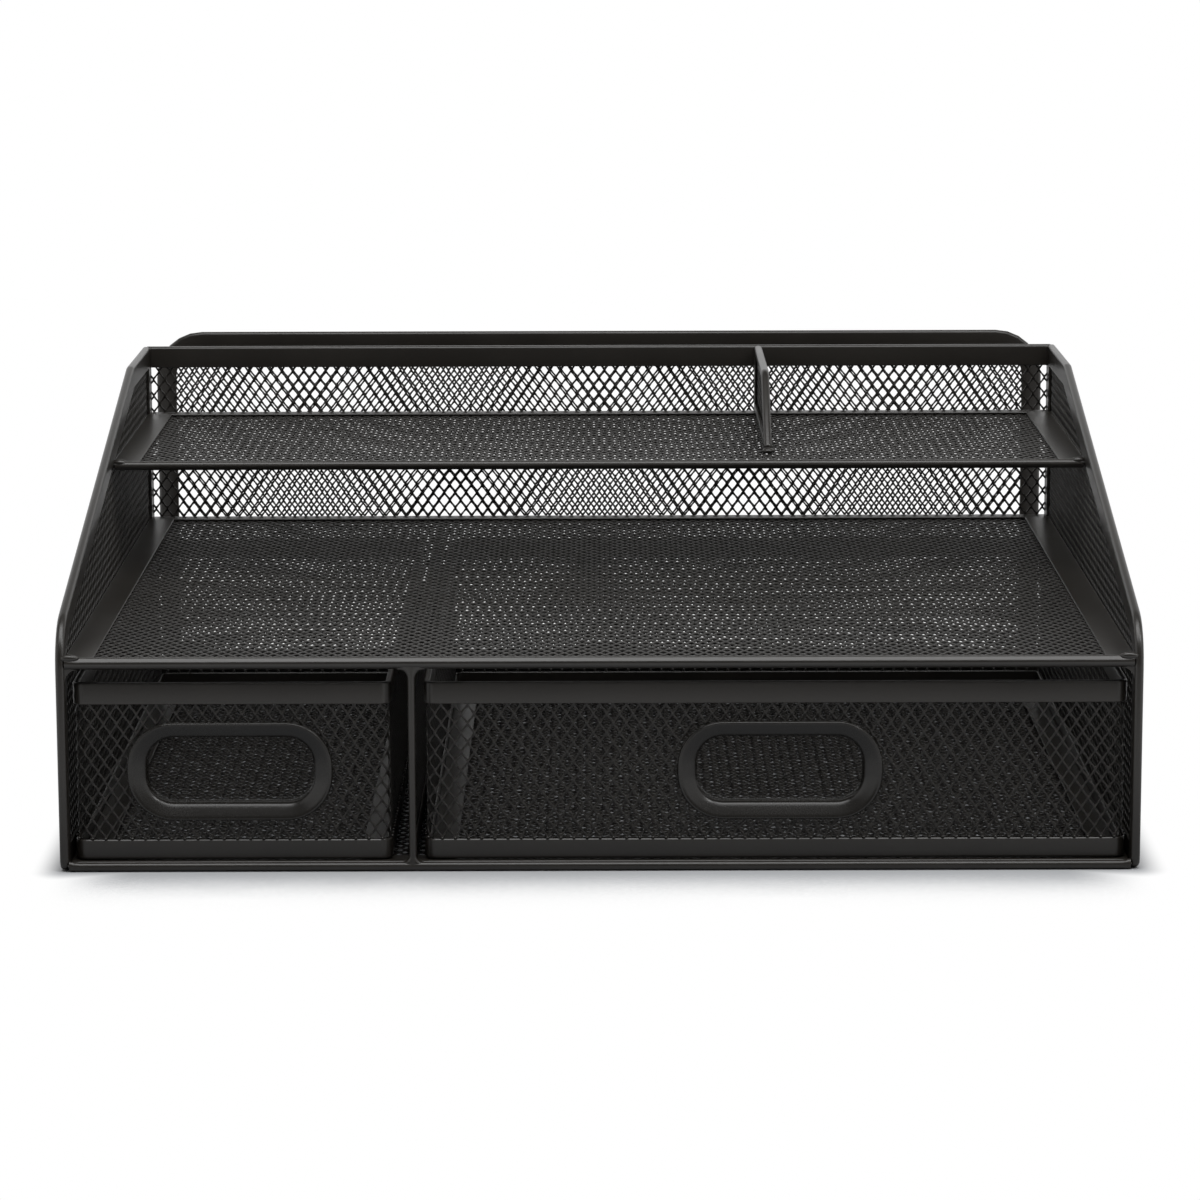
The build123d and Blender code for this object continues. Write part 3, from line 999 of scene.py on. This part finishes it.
@dataclass
class Base:
    """The flat frame underneath, with the bay floor and the letter slot's floor."""

    paint: Paint
    band: Channel = Channel(9.0, 2.8, wall=0.7, fold_radius=1.0)
    cross_width: float = 12.0
    cross_lap: float = 0.5
    cross_fold_radius: float = 0.3
    corner_radius: float = 1.2
    seat: float = 4.4

    def build(self) -> None:
        """Makes the frame with its cross strip and the two floors."""
        box = Extent.of("base_frame")
        level = box.middle(2)
        plane = Plane((0.0, 0.0, level), *UPWARD)
        corners = rectangle(box.low[0], box.low[1], box.high[0], box.high[1])
        frame = Shell().ring(corners, [self.corner_radius] * 4, self.band.profile(), plane)
        cross_y = Extent.of("back_wall_rail").middle(1)
        half_cross = self.cross_width / 2
        inner_x = box.high[0] - self.band.width + self.cross_lap
        half = Channel(half_cross, box.size(2), fold_radius=self.cross_fold_radius).profile()
        for way in (-1.0, 1.0):
            along = Plane((-inner_x * way, cross_y, level), (0.0, way, 0.0), ALONG_Z)
            frame.bar(half, along, 2 * inner_x)
        self.paint.dress(frame.make("base_frame_fold"), Body.HOUSING, Slot.CHANNEL, "base_frame")
        reach = box.high[0] - self.band.width + self.seat
        edge = self.band.width - self.seat
        spans = {
            "bay_floor": (box.low[1] + edge, cross_y - half_cross + self.seat),
            "letter_slot_floor": (cross_y + half_cross - self.seat, box.high[1] - edge),
        }
        for name, span in spans.items():
            sheet = FLOOR_SHEET.build(f"{name}_sheet", (-reach, reach), span, plane.place)
            self.paint.dress(sheet, Body.HOUSING, Slot.MESH, f"{name}_mesh")


@dataclass
class Shelf:
    """A tray's floor: side strips, back strip, rolled front rail and the sheet in all four."""

    paint: Paint
    name: str
    sheet: ExpandedSheet = SHELF_SHEET
    strip: Channel = THIN_STRIP
    rail: Channel = Channel(3.2, 3.2, wall=0.6, fold_radius=1.6, pinch=0.25)
    side_reach: float = 1.2
    back_reach: float = 0.6
    seat: float = 4.6
    rail_seat: float = 1.8

    def build(self) -> None:
        """Makes the four edges and the sheet."""
        left = Extent.of(f"{self.name}_left_strip")
        back = Extent.of(f"{self.name}_back_strip")
        rail = Extent.of(f"{self.name}_front_rail")
        level = left.middle(2)
        outer = back.high[0] + self.side_reach
        strip = replace(self.strip, width=self.strip.width + self.side_reach)
        run = back.low[1] - rail.high[1]
        for side in Side:
            sign = float(side.value)
            start = back.low[1] if side is Side.LEFT else rail.high[1]
            plane = Plane((sign * outer, start, level), (-sign, 0.0, 0.0), ALONG_Z)
            self.paint.strip(f"{self.name}_{side.name.lower()}_strip", strip, plane, run)
        back_strip = replace(self.strip, width=back.size(1) + self.back_reach)
        back_plane = Plane((-outer, back.high[1] + self.back_reach, level), (0.0, -1.0, 0.0), (0.0, 0.0, -1.0))
        self.paint.strip(f"{self.name}_back_strip", back_strip, back_plane, 2 * outer)
        rail_plane = Plane((-rail.high[0], rail.low[1], level), ALONG_Y, ALONG_Z)
        self.paint.strip(f"{self.name}_front_rail", self.rail, rail_plane, 2 * rail.high[0])
        reach = -left.high[0] + self.seat
        spans = (-reach, reach), (rail.high[1] - self.rail_seat, back.low[1] + self.seat)
        sheet = self.sheet.build(f"{self.name}_sheet", *spans, Plane((0.0, 0.0, level), *UPWARD).place)
        self.paint.dress(sheet, Body.HOUSING, Slot.MESH, f"{self.name}_mesh")


@dataclass
class ShelfDivider:
    """The upright divider on the upper shelf: a bent rim, sloped at the front, with a small sheet in it."""

    paint: Paint
    slope_length: float = 33.5
    rim: Rim = Rim(Channel(3.0, 3.0, wall=0.6, fold_radius=1.2, pinch=0.1), (1.4, 1.4, 1.4, 9.0), seat=1.9)

    def build(self) -> None:
        """Makes the rim and the sheet."""
        box = Extent.of("shelf_divider_rim")
        (front, foot), (back, top) = box.low[1:], box.high[1:]
        corners = [(front, foot), (back, foot), (back, top), (front + self.slope_length, top)]
        self.rim.build(self.paint, "shelf_divider", corners, Plane((box.middle(0), 0.0, 0.0), *SIDEWARD))


@dataclass
class FrontFrame:
    """The rods round the drawer bays, the post between them, and the weld fillets and beads under the paint."""

    paint: Paint
    rod_sides: int = 36
    rod_ends: tuple[Flat, ...] = ((0.0, 1.35), (0.8, 1.28), (1.7, 1.12), (3.2, 1.0))
    header_radius: float = 1.95
    header_flat: float = 0.92
    header_flat_rise: float = 43.0
    post_head_fillet: float = 3.4
    post_foot_fillet: float = 2.2
    corner_fillet: float = 4.0
    fillet_thickness: float = 2.0
    fillet_root: Flat = (-0.6, 0.8)
    fillet_turns: int = 8
    fillet_steps: tuple[float, ...] = (0.0, 0.08, 0.2, 0.36, 0.56, 0.78, 1.0)
    post_sink: float = 0.8
    post_sharp_angle: float = 50.0
    bead_run: float = 1.5
    bead_seed_step: float = 3.7
    header_bead: tuple[Point, float] = ((3.2, 1.2, 1.2), 0.1)
    rail_bead: tuple[Point, float] = ((3.0, 1.5, 1.2), 0.1)
    sill_bead: tuple[Point, float] = ((2.2, 1.0, 0.9), 0.9)
    divider_bead: tuple[Flat, Point, float] = ((1.2, 0.2), (2.3, 1.9, 1.1), 40.0)

    def build(self) -> None:
        """Makes the rods, the post and the welds."""
        turns = [2 * math.pi * k / self.rod_sides for k in range(self.rod_sides)]
        sill, header = Extent.of("front_sill_rod"), self._rolled(Extent.of("front_header_rod"))
        for node, box, flat in (("front_sill_rod", sill, 1.0), ("front_header_rod", header, self.header_flat)):
            stations = [(box.low[0] + run, swell) for run, swell in self.rod_ends]
            stations += [(box.high[0] - run, swell) for run, swell in reversed(self.rod_ends)]
            rows = [self._rod_row(box, turns, x, swell, flat) for x, swell in stations]
            piece = Shell().loft(rows, closed=False).make(f"{node}_drawn")
            self.paint.dress(piece, Body.HOUSING, Slot.CHANNEL, node)
        self._post(sill.high[2], header.low[2], turns)
        self._welds(sill, header)

    def _rolled(self, rod: Extent) -> Extent:
        """The box of the header's rolled edge, which is thicker than the rod and level with its front."""
        radius, level = self.header_radius, rod.middle(2)
        return Extent((*rod.low[:2], level - radius), (rod.high[0], rod.low[1] + 2 * radius, level + radius))

    def _rod_row(self, box: Extent, turns: Sequence[float], x: float, swell: float, flat: float) -> np.ndarray:
        """The points round a rod at one place.

        Args:
            box: The rod's box.
            turns: The angles of the points.
            x: The place along the rod.
            swell: How far weld swells the upper half.
            flat: How far the flat on the upper front face is from the middle, as a share of the radius.

        Returns:
            The points.
        """
        radius, middle = box.size(2) / 2, Vector((box.middle(1), box.middle(2)))
        facing = math.pi - math.radians(self.header_flat_rise)
        row = []
        for turn in turns:
            reach = radius * min(1.0, flat / max(math.cos(turn - facing), LEAST_COSINE))
            rise = math.sin(turn) * (swell if math.sin(turn) > 0 else 1.0)
            row.append((x, middle.x + reach * math.cos(turn), middle.y + reach * rise))
        return np.array(row)

    @staticmethod
    def _fillet(distance: float, radius: float) -> float:
        """Measures a round fillet.

        Args:
            distance: How far off the rod is that the fillet runs into.
            radius: The fillet's radius.

        Returns:
            How far the fillet reaches sideways there.
        """
        if distance >= radius:
            return 0.0
        short = radius - max(distance, 0.0)
        return radius - math.sqrt(radius * radius - short * short)

    def _post(self, low: float, high: float, turns: Sequence[float]) -> None:
        """Makes the post, which spreads into the rods at both ends.

        Args:
            low: The top of the sill rod.
            high: The underside of the header rod.
            turns: The angles of the points round the post.
        """
        box = Extent.of("front_centre_post")
        radius = box.size(1) / 2
        sink, steps = radius * self.post_sink, self.fillet_steps
        levels = [low - sink, *(low + self.post_foot_fillet * s for s in steps)]
        levels += [*(high - self.post_head_fillet * s for s in reversed(steps)), high + sink]
        rows = []
        for level in levels:
            width = radius + self._fillet(level - low, self.post_foot_fillet)
            width += self._fillet(high - level, self.post_head_fillet)
            row = [
                (box.middle(0) + width * math.cos(t), box.middle(1) + radius * math.sin(t), level) for t in turns
            ]
            rows.append(np.array(row))
        piece = Shell().loft(rows, closed=False).make("front_centre_post_welded", self.post_sharp_angle)
        self.paint.dress(piece, Body.HOUSING, Slot.CHANNEL, "front_centre_post")

    def _welds(self, sill: Extent, header: Extent) -> None:
        """Makes the fillets in the header's corners and the beads where rails and rods meet the rims.

        Args:
            sill: The sill rod's box.
            header: The header's box.
        """
        welds = Shell()
        radius = self.corner_fillet
        arc = [math.pi / 2 * k / self.fillet_turns for k in range(self.fillet_turns + 1)]
        for side in Side:
            sign = float(side.value)
            reach = radius - np.array([radius * math.sin(t) for t in arc])
            depth = radius - np.array([radius * math.cos(t) for t in arc])
            corner = [self.fillet_root, *zip(reach, -depth)]
            start = (sign * header.high[0], header.middle(1) - sign * self.fillet_thickness / 2, header.low[2])
            welds.bar(corner, Plane(start, (-sign, 0.0, 0.0), ALONG_Z), self.fillet_thickness)
        seed = 0.0
        rail, divider = Extent.of("upper_shelf_front_rail"), Extent.of("shelf_divider_rim")
        beads = ((header, self.header_bead), (rail, self.rail_bead), (sill, self.sill_bead))
        for bar, (reach, drop) in beads:
            for end, way in ((bar.low[0], 1.0), (bar.high[0], -1.0)):
                seed += self.bead_seed_step
                centre = (end + way * self.bead_run, bar.low[1] + reach[1], bar.high[2] - drop)
                welds.bead(centre, reach, seed)
        (run, rise), reach, seed = self.divider_bead
        welds.bead((divider.middle(0), divider.low[1] + run, divider.low[2] + rise), reach, seed)
        self.paint.dress(welds.make("weld_beads", WELD_SHARP_ANGLE), Body.HOUSING, Slot.CHANNEL)


@dataclass
class BayPartition:
    """The wall between the two drawer bays: head, foot and sheet."""

    paint: Paint
    wall: StripWall = StripWall(replace(THIN_STRIP, width=8.0), sheet_gap=0.6)

    def build(self) -> None:
        """Makes the head, the foot and the sheet."""
        head = Extent.of("bay_partition_head")
        plane = Plane((head.middle(0), 0.0, 0.0), *SIDEWARD)
        self.wall.build(self.paint, "bay_partition", "head", plane, (head.low[1], head.high[1]))


# The finger pull's section from its outer edge to its hole: the share of the way in, and the rise from its face.
PULL_SECTION = (
    (0.00, 0.10), (0.00, 0.70), (0.02, 1.12), (0.06, 1.45), (0.11, 1.58), (0.17, 1.52), (0.30, 1.12),
    (0.50, 0.48), (0.68, -0.10), (0.80, -0.52), (0.87, -0.84), (0.92, -1.22), (0.955, -1.70), (0.98, -2.40),
    (0.995, -3.30), (1.00, -4.60), (0.985, -5.00), (0.93, -5.00), (0.90, -4.60), (0.885, -3.30),
    (0.86, -2.30), (0.80, -1.50), (0.66, -0.85), (0.46, -0.30), (0.25, 0.02),
)


@dataclass
class Drawer:
    """A drawer: folded bands round its edges, one sheet bent round its walls, its floor and its finger pull."""

    paint: Paint
    body: Body
    corner_radius: float = 4.0
    top_band: Channel = Channel(7.2, 2.0, wall=0.35, fold_radius=0.8, pinch=0.08, tip_radius=0.18)
    bottom_band: Channel = Channel(6.6, 2.0, wall=0.35, fold_radius=0.8, pinch=0.08, tip_radius=0.3)
    strip: Channel = THIN_STRIP
    sheet_seat: float = 2.8
    path_steps: int = 11
    drop_reach: Point = (0.55, 0.55, 0.42)
    drop_rise: float = 0.4
    drop_depth: float = 0.70
    drop_seed_step: float = 1.3
    bend_step: float = 0.4
    floor_seat: float = 4.6
    pull_outer: Flat = (33.25, 16.25)
    pull_hole: Flat = (26.75, 10.5)
    pull_radii: Flat = (15.0, 8.5)
    pull_steps: int = 13
    pull_sharp_angle: float = 70.0
    pull_set_back: float = 0.5
    window_margin: float = 3.4

    def build(self) -> None:
        """Makes the drawer's pieces."""
        name = self.body.value
        top, bottom = Extent.of(f"{name}_top_band"), Extent.of(f"{name}_bottom_band")
        corners = rectangle(top.low[0], top.low[1], top.high[0], top.high[1])
        radii = [self.corner_radius] * 4
        ground = Plane((0.0, 0.0, 0.0), *UPWARD)
        bands = {
            f"{name}_top_band": self.top_band.standing(top.high[2], rises=False),
            f"{name}_bottom_band": self.bottom_band.standing(bottom.low[2], rises=True),
        }
        for node, profile in bands.items():
            piece = Shell().ring(corners, radii, profile, ground).make(f"{node}_fold")
            self.paint.dress(piece, self.body, Slot.CHANNEL, node)
        pull = Extent.of(f"{name}_finger_pull")
        self._walls(corners, bottom.high[2] - self.sheet_seat, top.low[2] + self.sheet_seat, pull)
        self._floor()
        self._pull(pull, top.low[1])

    def _walls(self, corners: Outline, low: float, high: float, pull: Extent) -> None:
        """Makes the sheet that is bent round all four walls.

        Args:
            corners: The drawer's outline.
            low: Where the sheet starts, inside the bottom band.
            high: Where it ends, inside the top band.
            pull: The finger pull's box, under whose flange the sheet is cut.
        """
        inset = self.top_band.thickness / 2
        path = rounded_outline(inset_corners(corners, inset), [self.corner_radius - inset] * 4, self.path_steps)
        path = np.vstack([path, path[:1]])
        mileage = np.concatenate([[0.0], np.cumsum(np.linalg.norm(np.diff(path, axis=0), axis=1))])
        loop = float(mileage[-1])

        def spot(u: np.ndarray) -> np.ndarray:
            """The places on the path after so many millimetres."""
            return np.stack([np.interp(u % loop, mileage, path[:, axis]) for axis in (0, 1)], 1)

        def place(u: np.ndarray, v: np.ndarray, h: np.ndarray) -> np.ndarray:
            """Bends the sheet round the walls.

            Args:
                u: How far round the drawer each place is.
                v: Its height.
                h: How far out from the sheet it is.

            Returns:
                The points.
            """
            run = spot(u + self.bend_step) - spot(u - self.bend_step)
            run /= np.linalg.norm(run, axis=1, keepdims=True)
            outward = np.stack([run[:, 1], -run[:, 0]], 1)
            return np.column_stack([spot(u) + outward * h[:, None], v])

        half_u, half_v = (reach - self.window_margin for reach in self.pull_outer)
        radius = self.pull_radii[0] - self.window_margin

        def keep(u: np.ndarray, v: np.ndarray) -> np.ndarray:
            """Leaves out the sheet behind the finger pull.

            Args:
                u: How far round the drawer each place is.
                v: Its height.

            Returns:
                Whether it has sheet.
            """
            xy = spot(u.ravel()).reshape(*u.shape, 2)
            off_u = np.abs(xy[..., 0] - pull.middle(0)) - (half_u - radius)
            off_v = np.abs(v - pull.middle(2)) - (half_v - radius)
            gap = np.hypot(np.maximum(off_u, 0), np.maximum(off_v, 0)) + np.minimum(np.maximum(off_u, off_v), 0)
            at_front = xy[..., 1] < corners[0][1] + self.corner_radius
            return ~(at_front & (gap < radius))

        name = self.body.value
        sheet = WALL_SHEET.build(f"{name}_wall_sheet", (0.0, loop), (low, high), place, keep, closed=True)
        nodes = [f"{name}_{wall}_mesh" for wall in ("front", "back", "left", "right")]
        self.paint.dress(sheet, self.body, Slot.MESH, *nodes)
        count = round(loop / WALL_SHEET.short_pitch)
        miles = (np.arange(count) + 0.5) * loop / count
        drops = Shell()
        level = low + self.sheet_seat + self.drop_rise
        at = place(miles, np.full(count, level), np.full(count, self.drop_depth))
        for seed, drop in enumerate(at):
            drops.bead(tuple(drop), self.drop_reach, seed * self.drop_seed_step)
        self.paint.dress(drops.make(f"{name}_band_paint_drops", WELD_SHARP_ANGLE), self.body, Slot.CHANNEL)

    def _floor(self) -> None:
        """Makes the floor sheet and the two strips along its sides."""
        name = self.body.value
        strips, floor = Extent.of(f"{name}_floor_strips"), Extent.of(f"{name}_floor_mesh")
        level = strips.middle(2)
        shell = Shell()
        for sign, edge in ((1.0, strips.low[0]), (-1.0, strips.high[0])):
            start = strips.low[1] if sign < 0 else strips.high[1]
            plane = Plane((edge, start, level), (sign, 0.0, 0.0), ALONG_Z)
            shell.bar(self.strip.profile(), plane, strips.size(1))
        self.paint.dress(shell.make(f"{name}_floor_strips_fold"), self.body, Slot.CHANNEL, f"{name}_floor_strips")
        edge = self.strip.width - self.floor_seat
        spans = (floor.low[1], floor.high[1]), (edge - strips.high[0], -edge - strips.low[0])
        plane = Plane((0.0, 0.0, level), ALONG_Y, (-1.0, 0.0, 0.0))
        sheet = DRAWER_FLOOR_SHEET.build(f"{name}_floor_sheet", *spans, plane.place)
        self.paint.dress(sheet, self.body, Slot.MESH, f"{name}_floor_mesh")

    def _pull(self, box: Extent, front: float) -> None:
        """Makes the dished finger pull.

        Args:
            box: The pull's box.
            front: The outer face of the drawer's bands.
        """
        face = front + self.pull_set_back
        rows = []
        for share, rise in PULL_SECTION:
            half_u, half_v = (o + (i - o) * share for o, i in zip(self.pull_outer, self.pull_hole))
            radius = self.pull_radii[0] + (self.pull_radii[1] - self.pull_radii[0]) * share
            outline = rounded_outline(rectangle(-half_u, -half_v, half_u, half_v), [radius] * 4, self.pull_steps)
            plane = Plane((box.middle(0), face, box.middle(2)), *FRONTWARD)
            rows.append(plane.place(outline[:, 0], outline[:, 1], np.full(len(outline), rise)))
        name = self.body.value
        piece = Shell().loft(rows, closed=True).make(f"{name}_finger_pull_dished", self.pull_sharp_angle)
        self.paint.dress(piece, self.body, Slot.PULL, f"{name}_finger_pull")


@dataclass(frozen=True)
class SoftBox:
    """A soft studio lamp."""

    name: str
    place_m: Point
    aim_m: Point
    size_m: Flat
    watts: float

    def build(self) -> None:
        """Makes the lamp."""
        lamp = bpy.data.lights.new(self.name, "AREA")
        lamp.shape = "RECTANGLE"
        lamp.size, lamp.size_y = self.size_m
        lamp.energy = self.watts
        made = link(self.name, lamp)
        made.location = self.place_m
        made.rotation_mode = "QUATERNION"
        made.rotation_quaternion = (Vector(self.aim_m) - Vector(self.place_m)).to_track_quat("-Z", "Y")


@dataclass(frozen=True)
class Studio:
    """The pale floor, the white surround, the lamps and the camera."""

    camera_place: Point = (0.571, -1539.96, 343.54)
    camera_pitch: float = 10.502
    camera_yaw: float = -0.0136
    camera_roll: float = -0.1598
    camera_lens: float = 130.71
    sensor_width: float = 36.0
    camera_clip_m: Flat = (0.01, 50.0)
    floor_half_m: float = 4.0
    apron_start_m: float = 0.62
    apron_slope: float = 0.22
    floor_drop_m: float = 0.0002
    # painted shade: the matt floor's colour is darker than the white floor, so where it shows near the object it
    # paints a contact shadow over the real shading
    painted_shade_floor_colour: Colour = (0.46, 0.47, 0.485)
    footprint_m: Flat = (0.173, 0.167)
    footprint_edge_m: Flat = (0.012, 0.012)
    shadow_sides_m: Flat = (0.150, 0.178)
    shadow_ends_m: Flat = (0.44, 0.52)
    shadow_reach_m: float = 0.06
    shadow_levels: Flat = (0.72, 0.95)
    shadow_samples: int = 16
    gloss_reach_m: float = 0.16
    surround_light: float = 0.15
    backdrop_radius_m: float = 3.2
    backdrop_levels_m: Flat = (-2.0, 3.0)
    backdrop_gap: float = 40.0
    backdrop_points: int = 65
    lamps: tuple[SoftBox, ...] = (
        SoftBox("key_lamp", (0.95, -0.85, 1.25), (0.0, 0.0, 0.06), (0.35, 0.35), 5.5),
        SoftBox("top_lamp", (0.0, -0.5, 1.35), (0.0, -0.1, 0.06), (1.2, 1.0), 17.0),
    )

    def build(self) -> None:
        """Makes the studio."""
        self._floor()
        self._surround()
        for lamp in self.lamps:
            lamp.build()
        self._camera()
        bpy.context.scene.view_settings.view_transform = "Standard"

    def _floor(self) -> None:
        """Makes the floor, which slopes down in front where the camera stands: plain white away from the object,
        and near it a darker matt floor, chosen by ambient occlusion, that paints shade and also keeps the object's
        real shadow.
        """
        half, low = self.floor_half_m, -self.floor_drop_m
        foot = low - (half - self.apron_start_m) * self.apron_slope
        levels = [(half, low), (-self.apron_start_m, low), (-half, foot)]
        points = [(x, y, z) for y, z in levels for x in (-half, half)]
        tree, material = ShaderTree.of_material("pale_floor")
        matt = tree.node("ShaderNodeBsdfDiffuse", None, {"Color": (*self.painted_shade_floor_colour, 1.0)})
        place = tree.node("ShaderNodeTexCoord", output="Object")
        sizes = [tree.node("ShaderNodeSeparateXYZ", None, {0: place}, axis).size() for axis in (0, 1)]
        past = [
            (size - half).at_least(0.0) * (1.0 / edge)
            for size, half, edge in zip(sizes, self.footprint_m, self.footprint_edge_m)
        ]
        outside = (past[0] * past[0] + past[1] * past[1]).root().spread(0.0, 1.0)
        # Painted shade: ambient occlusion and masks round the footprint choose where the darker matt floor shows in
        # place of plain white; under the footprint it always shows.
        sky_inputs = {"Distance": self.shadow_reach_m}
        open_sky = tree.node("ShaderNodeAmbientOcclusion", {"samples": self.shadow_samples}, sky_inputs, "AO")
        away = sizes[0].spread(*self.shadow_sides_m).at_least(sizes[1].spread(*self.shadow_ends_m))
        lift = outside.at_most(away.at_least(open_sky.spread(*self.shadow_levels)))
        ways = [size - half for size, half in zip(sizes, self.footprint_m)]
        seen = tree.seen_rays(ways[0].at_least(ways[1]).spread(0.0, self.gloss_reach_m))
        tree.white_where(seen * lift, matt)
        self._stand("floor", points, [(0, 2, 3, 1), (2, 4, 5, 3)], material)

    @staticmethod
    def _stand(
        name: str, points: Sequence[Point], faces: Sequence[Sequence[int]], material: bpy.types.Material
    ) -> None:
        """Makes a piece of the set.

        Args:
            name: The piece's name.
            points: Its points in metres.
            faces: The point numbers of each face.
            material: What it is made of.
        """
        mesh = bpy.data.meshes.new(name)
        mesh.from_pydata(points, [], faces)
        mesh.materials.append(material)
        link(name, mesh)

    def _surround(self) -> None:
        """Makes the plain world and the white backdrop, which stands all round but where the camera is."""
        world = bpy.context.scene.world or bpy.data.worlds.new("surround")
        bpy.context.scene.world = world
        world.use_nodes = True
        plain = ShaderTree(world.node_tree)
        light = plain.node("ShaderNodeBackground", None, {"Strength": self.surround_light})
        plain.node("ShaderNodeOutputWorld", None, {"Surface": light})
        gap, radius = self.backdrop_gap, self.backdrop_radius_m
        turns = np.radians(np.linspace(gap - 90.0, 270.0 - gap, self.backdrop_points))
        points = [(radius * math.cos(t), radius * math.sin(t), z) for t in turns for z in self.backdrop_levels_m]
        faces = [(2 * k, 2 * k + 2, 2 * k + 3, 2 * k + 1) for k in range(len(turns) - 1)]
        tree, material = ShaderTree.of_material("white_backdrop")
        tree.white_where(tree.seen_rays(), tree.node("ShaderNodeBsdfTransparent"))
        self._stand("backdrop", points, faces, material)

    def _camera(self) -> None:
        """Makes the camera at the photograph's place and angle."""
        pitch, yaw, roll = (math.radians(x) for x in (self.camera_pitch, self.camera_yaw, self.camera_roll))
        ahead = Vector((math.sin(yaw) * math.cos(pitch), math.cos(yaw) * math.cos(pitch), -math.sin(pitch)))
        level = Vector((math.cos(yaw), -math.sin(yaw), 0.0))
        rise = level.cross(ahead)
        right = level * math.cos(roll) + rise * math.sin(roll)
        up = rise * math.cos(roll) - level * math.sin(roll)
        lens = bpy.data.cameras.new("camera")
        lens.lens, lens.sensor_width = self.camera_lens, self.sensor_width
        lens.clip_start, lens.clip_end = self.camera_clip_m
        camera = link("camera", lens)
        turn = Matrix((right, up, -ahead)).transposed().to_4x4()
        camera.matrix_world = Matrix.Translation([x * MM for x in self.camera_place]) @ turn
        bpy.context.scene.camera = camera


def main() -> None:
    """Loads the frame, builds every piece round it and sets up the studio."""
    logging.basicConfig(level=logging.INFO, format="%(name)s: %(message)s")
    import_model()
    paint = Paint()
    Studio().build()
    assemblies = [
        *(SidePanel(paint, side) for side in Side),
        LetterPanel(paint),
        BackWall(paint),
        Base(paint),
        Shelf(paint, "lower_shelf"),
        Shelf(paint, "upper_shelf", UPPER_SHELF_SHEET),
        ShelfDivider(paint),
        FrontFrame(paint),
        BayPartition(paint),
        Drawer(paint, Body.SMALL_DRAWER),
        Drawer(paint, Body.LARGE_DRAWER),
    ]
    for assembly in assemblies:
        assembly.build()


if __name__ == "__main__":
    main()
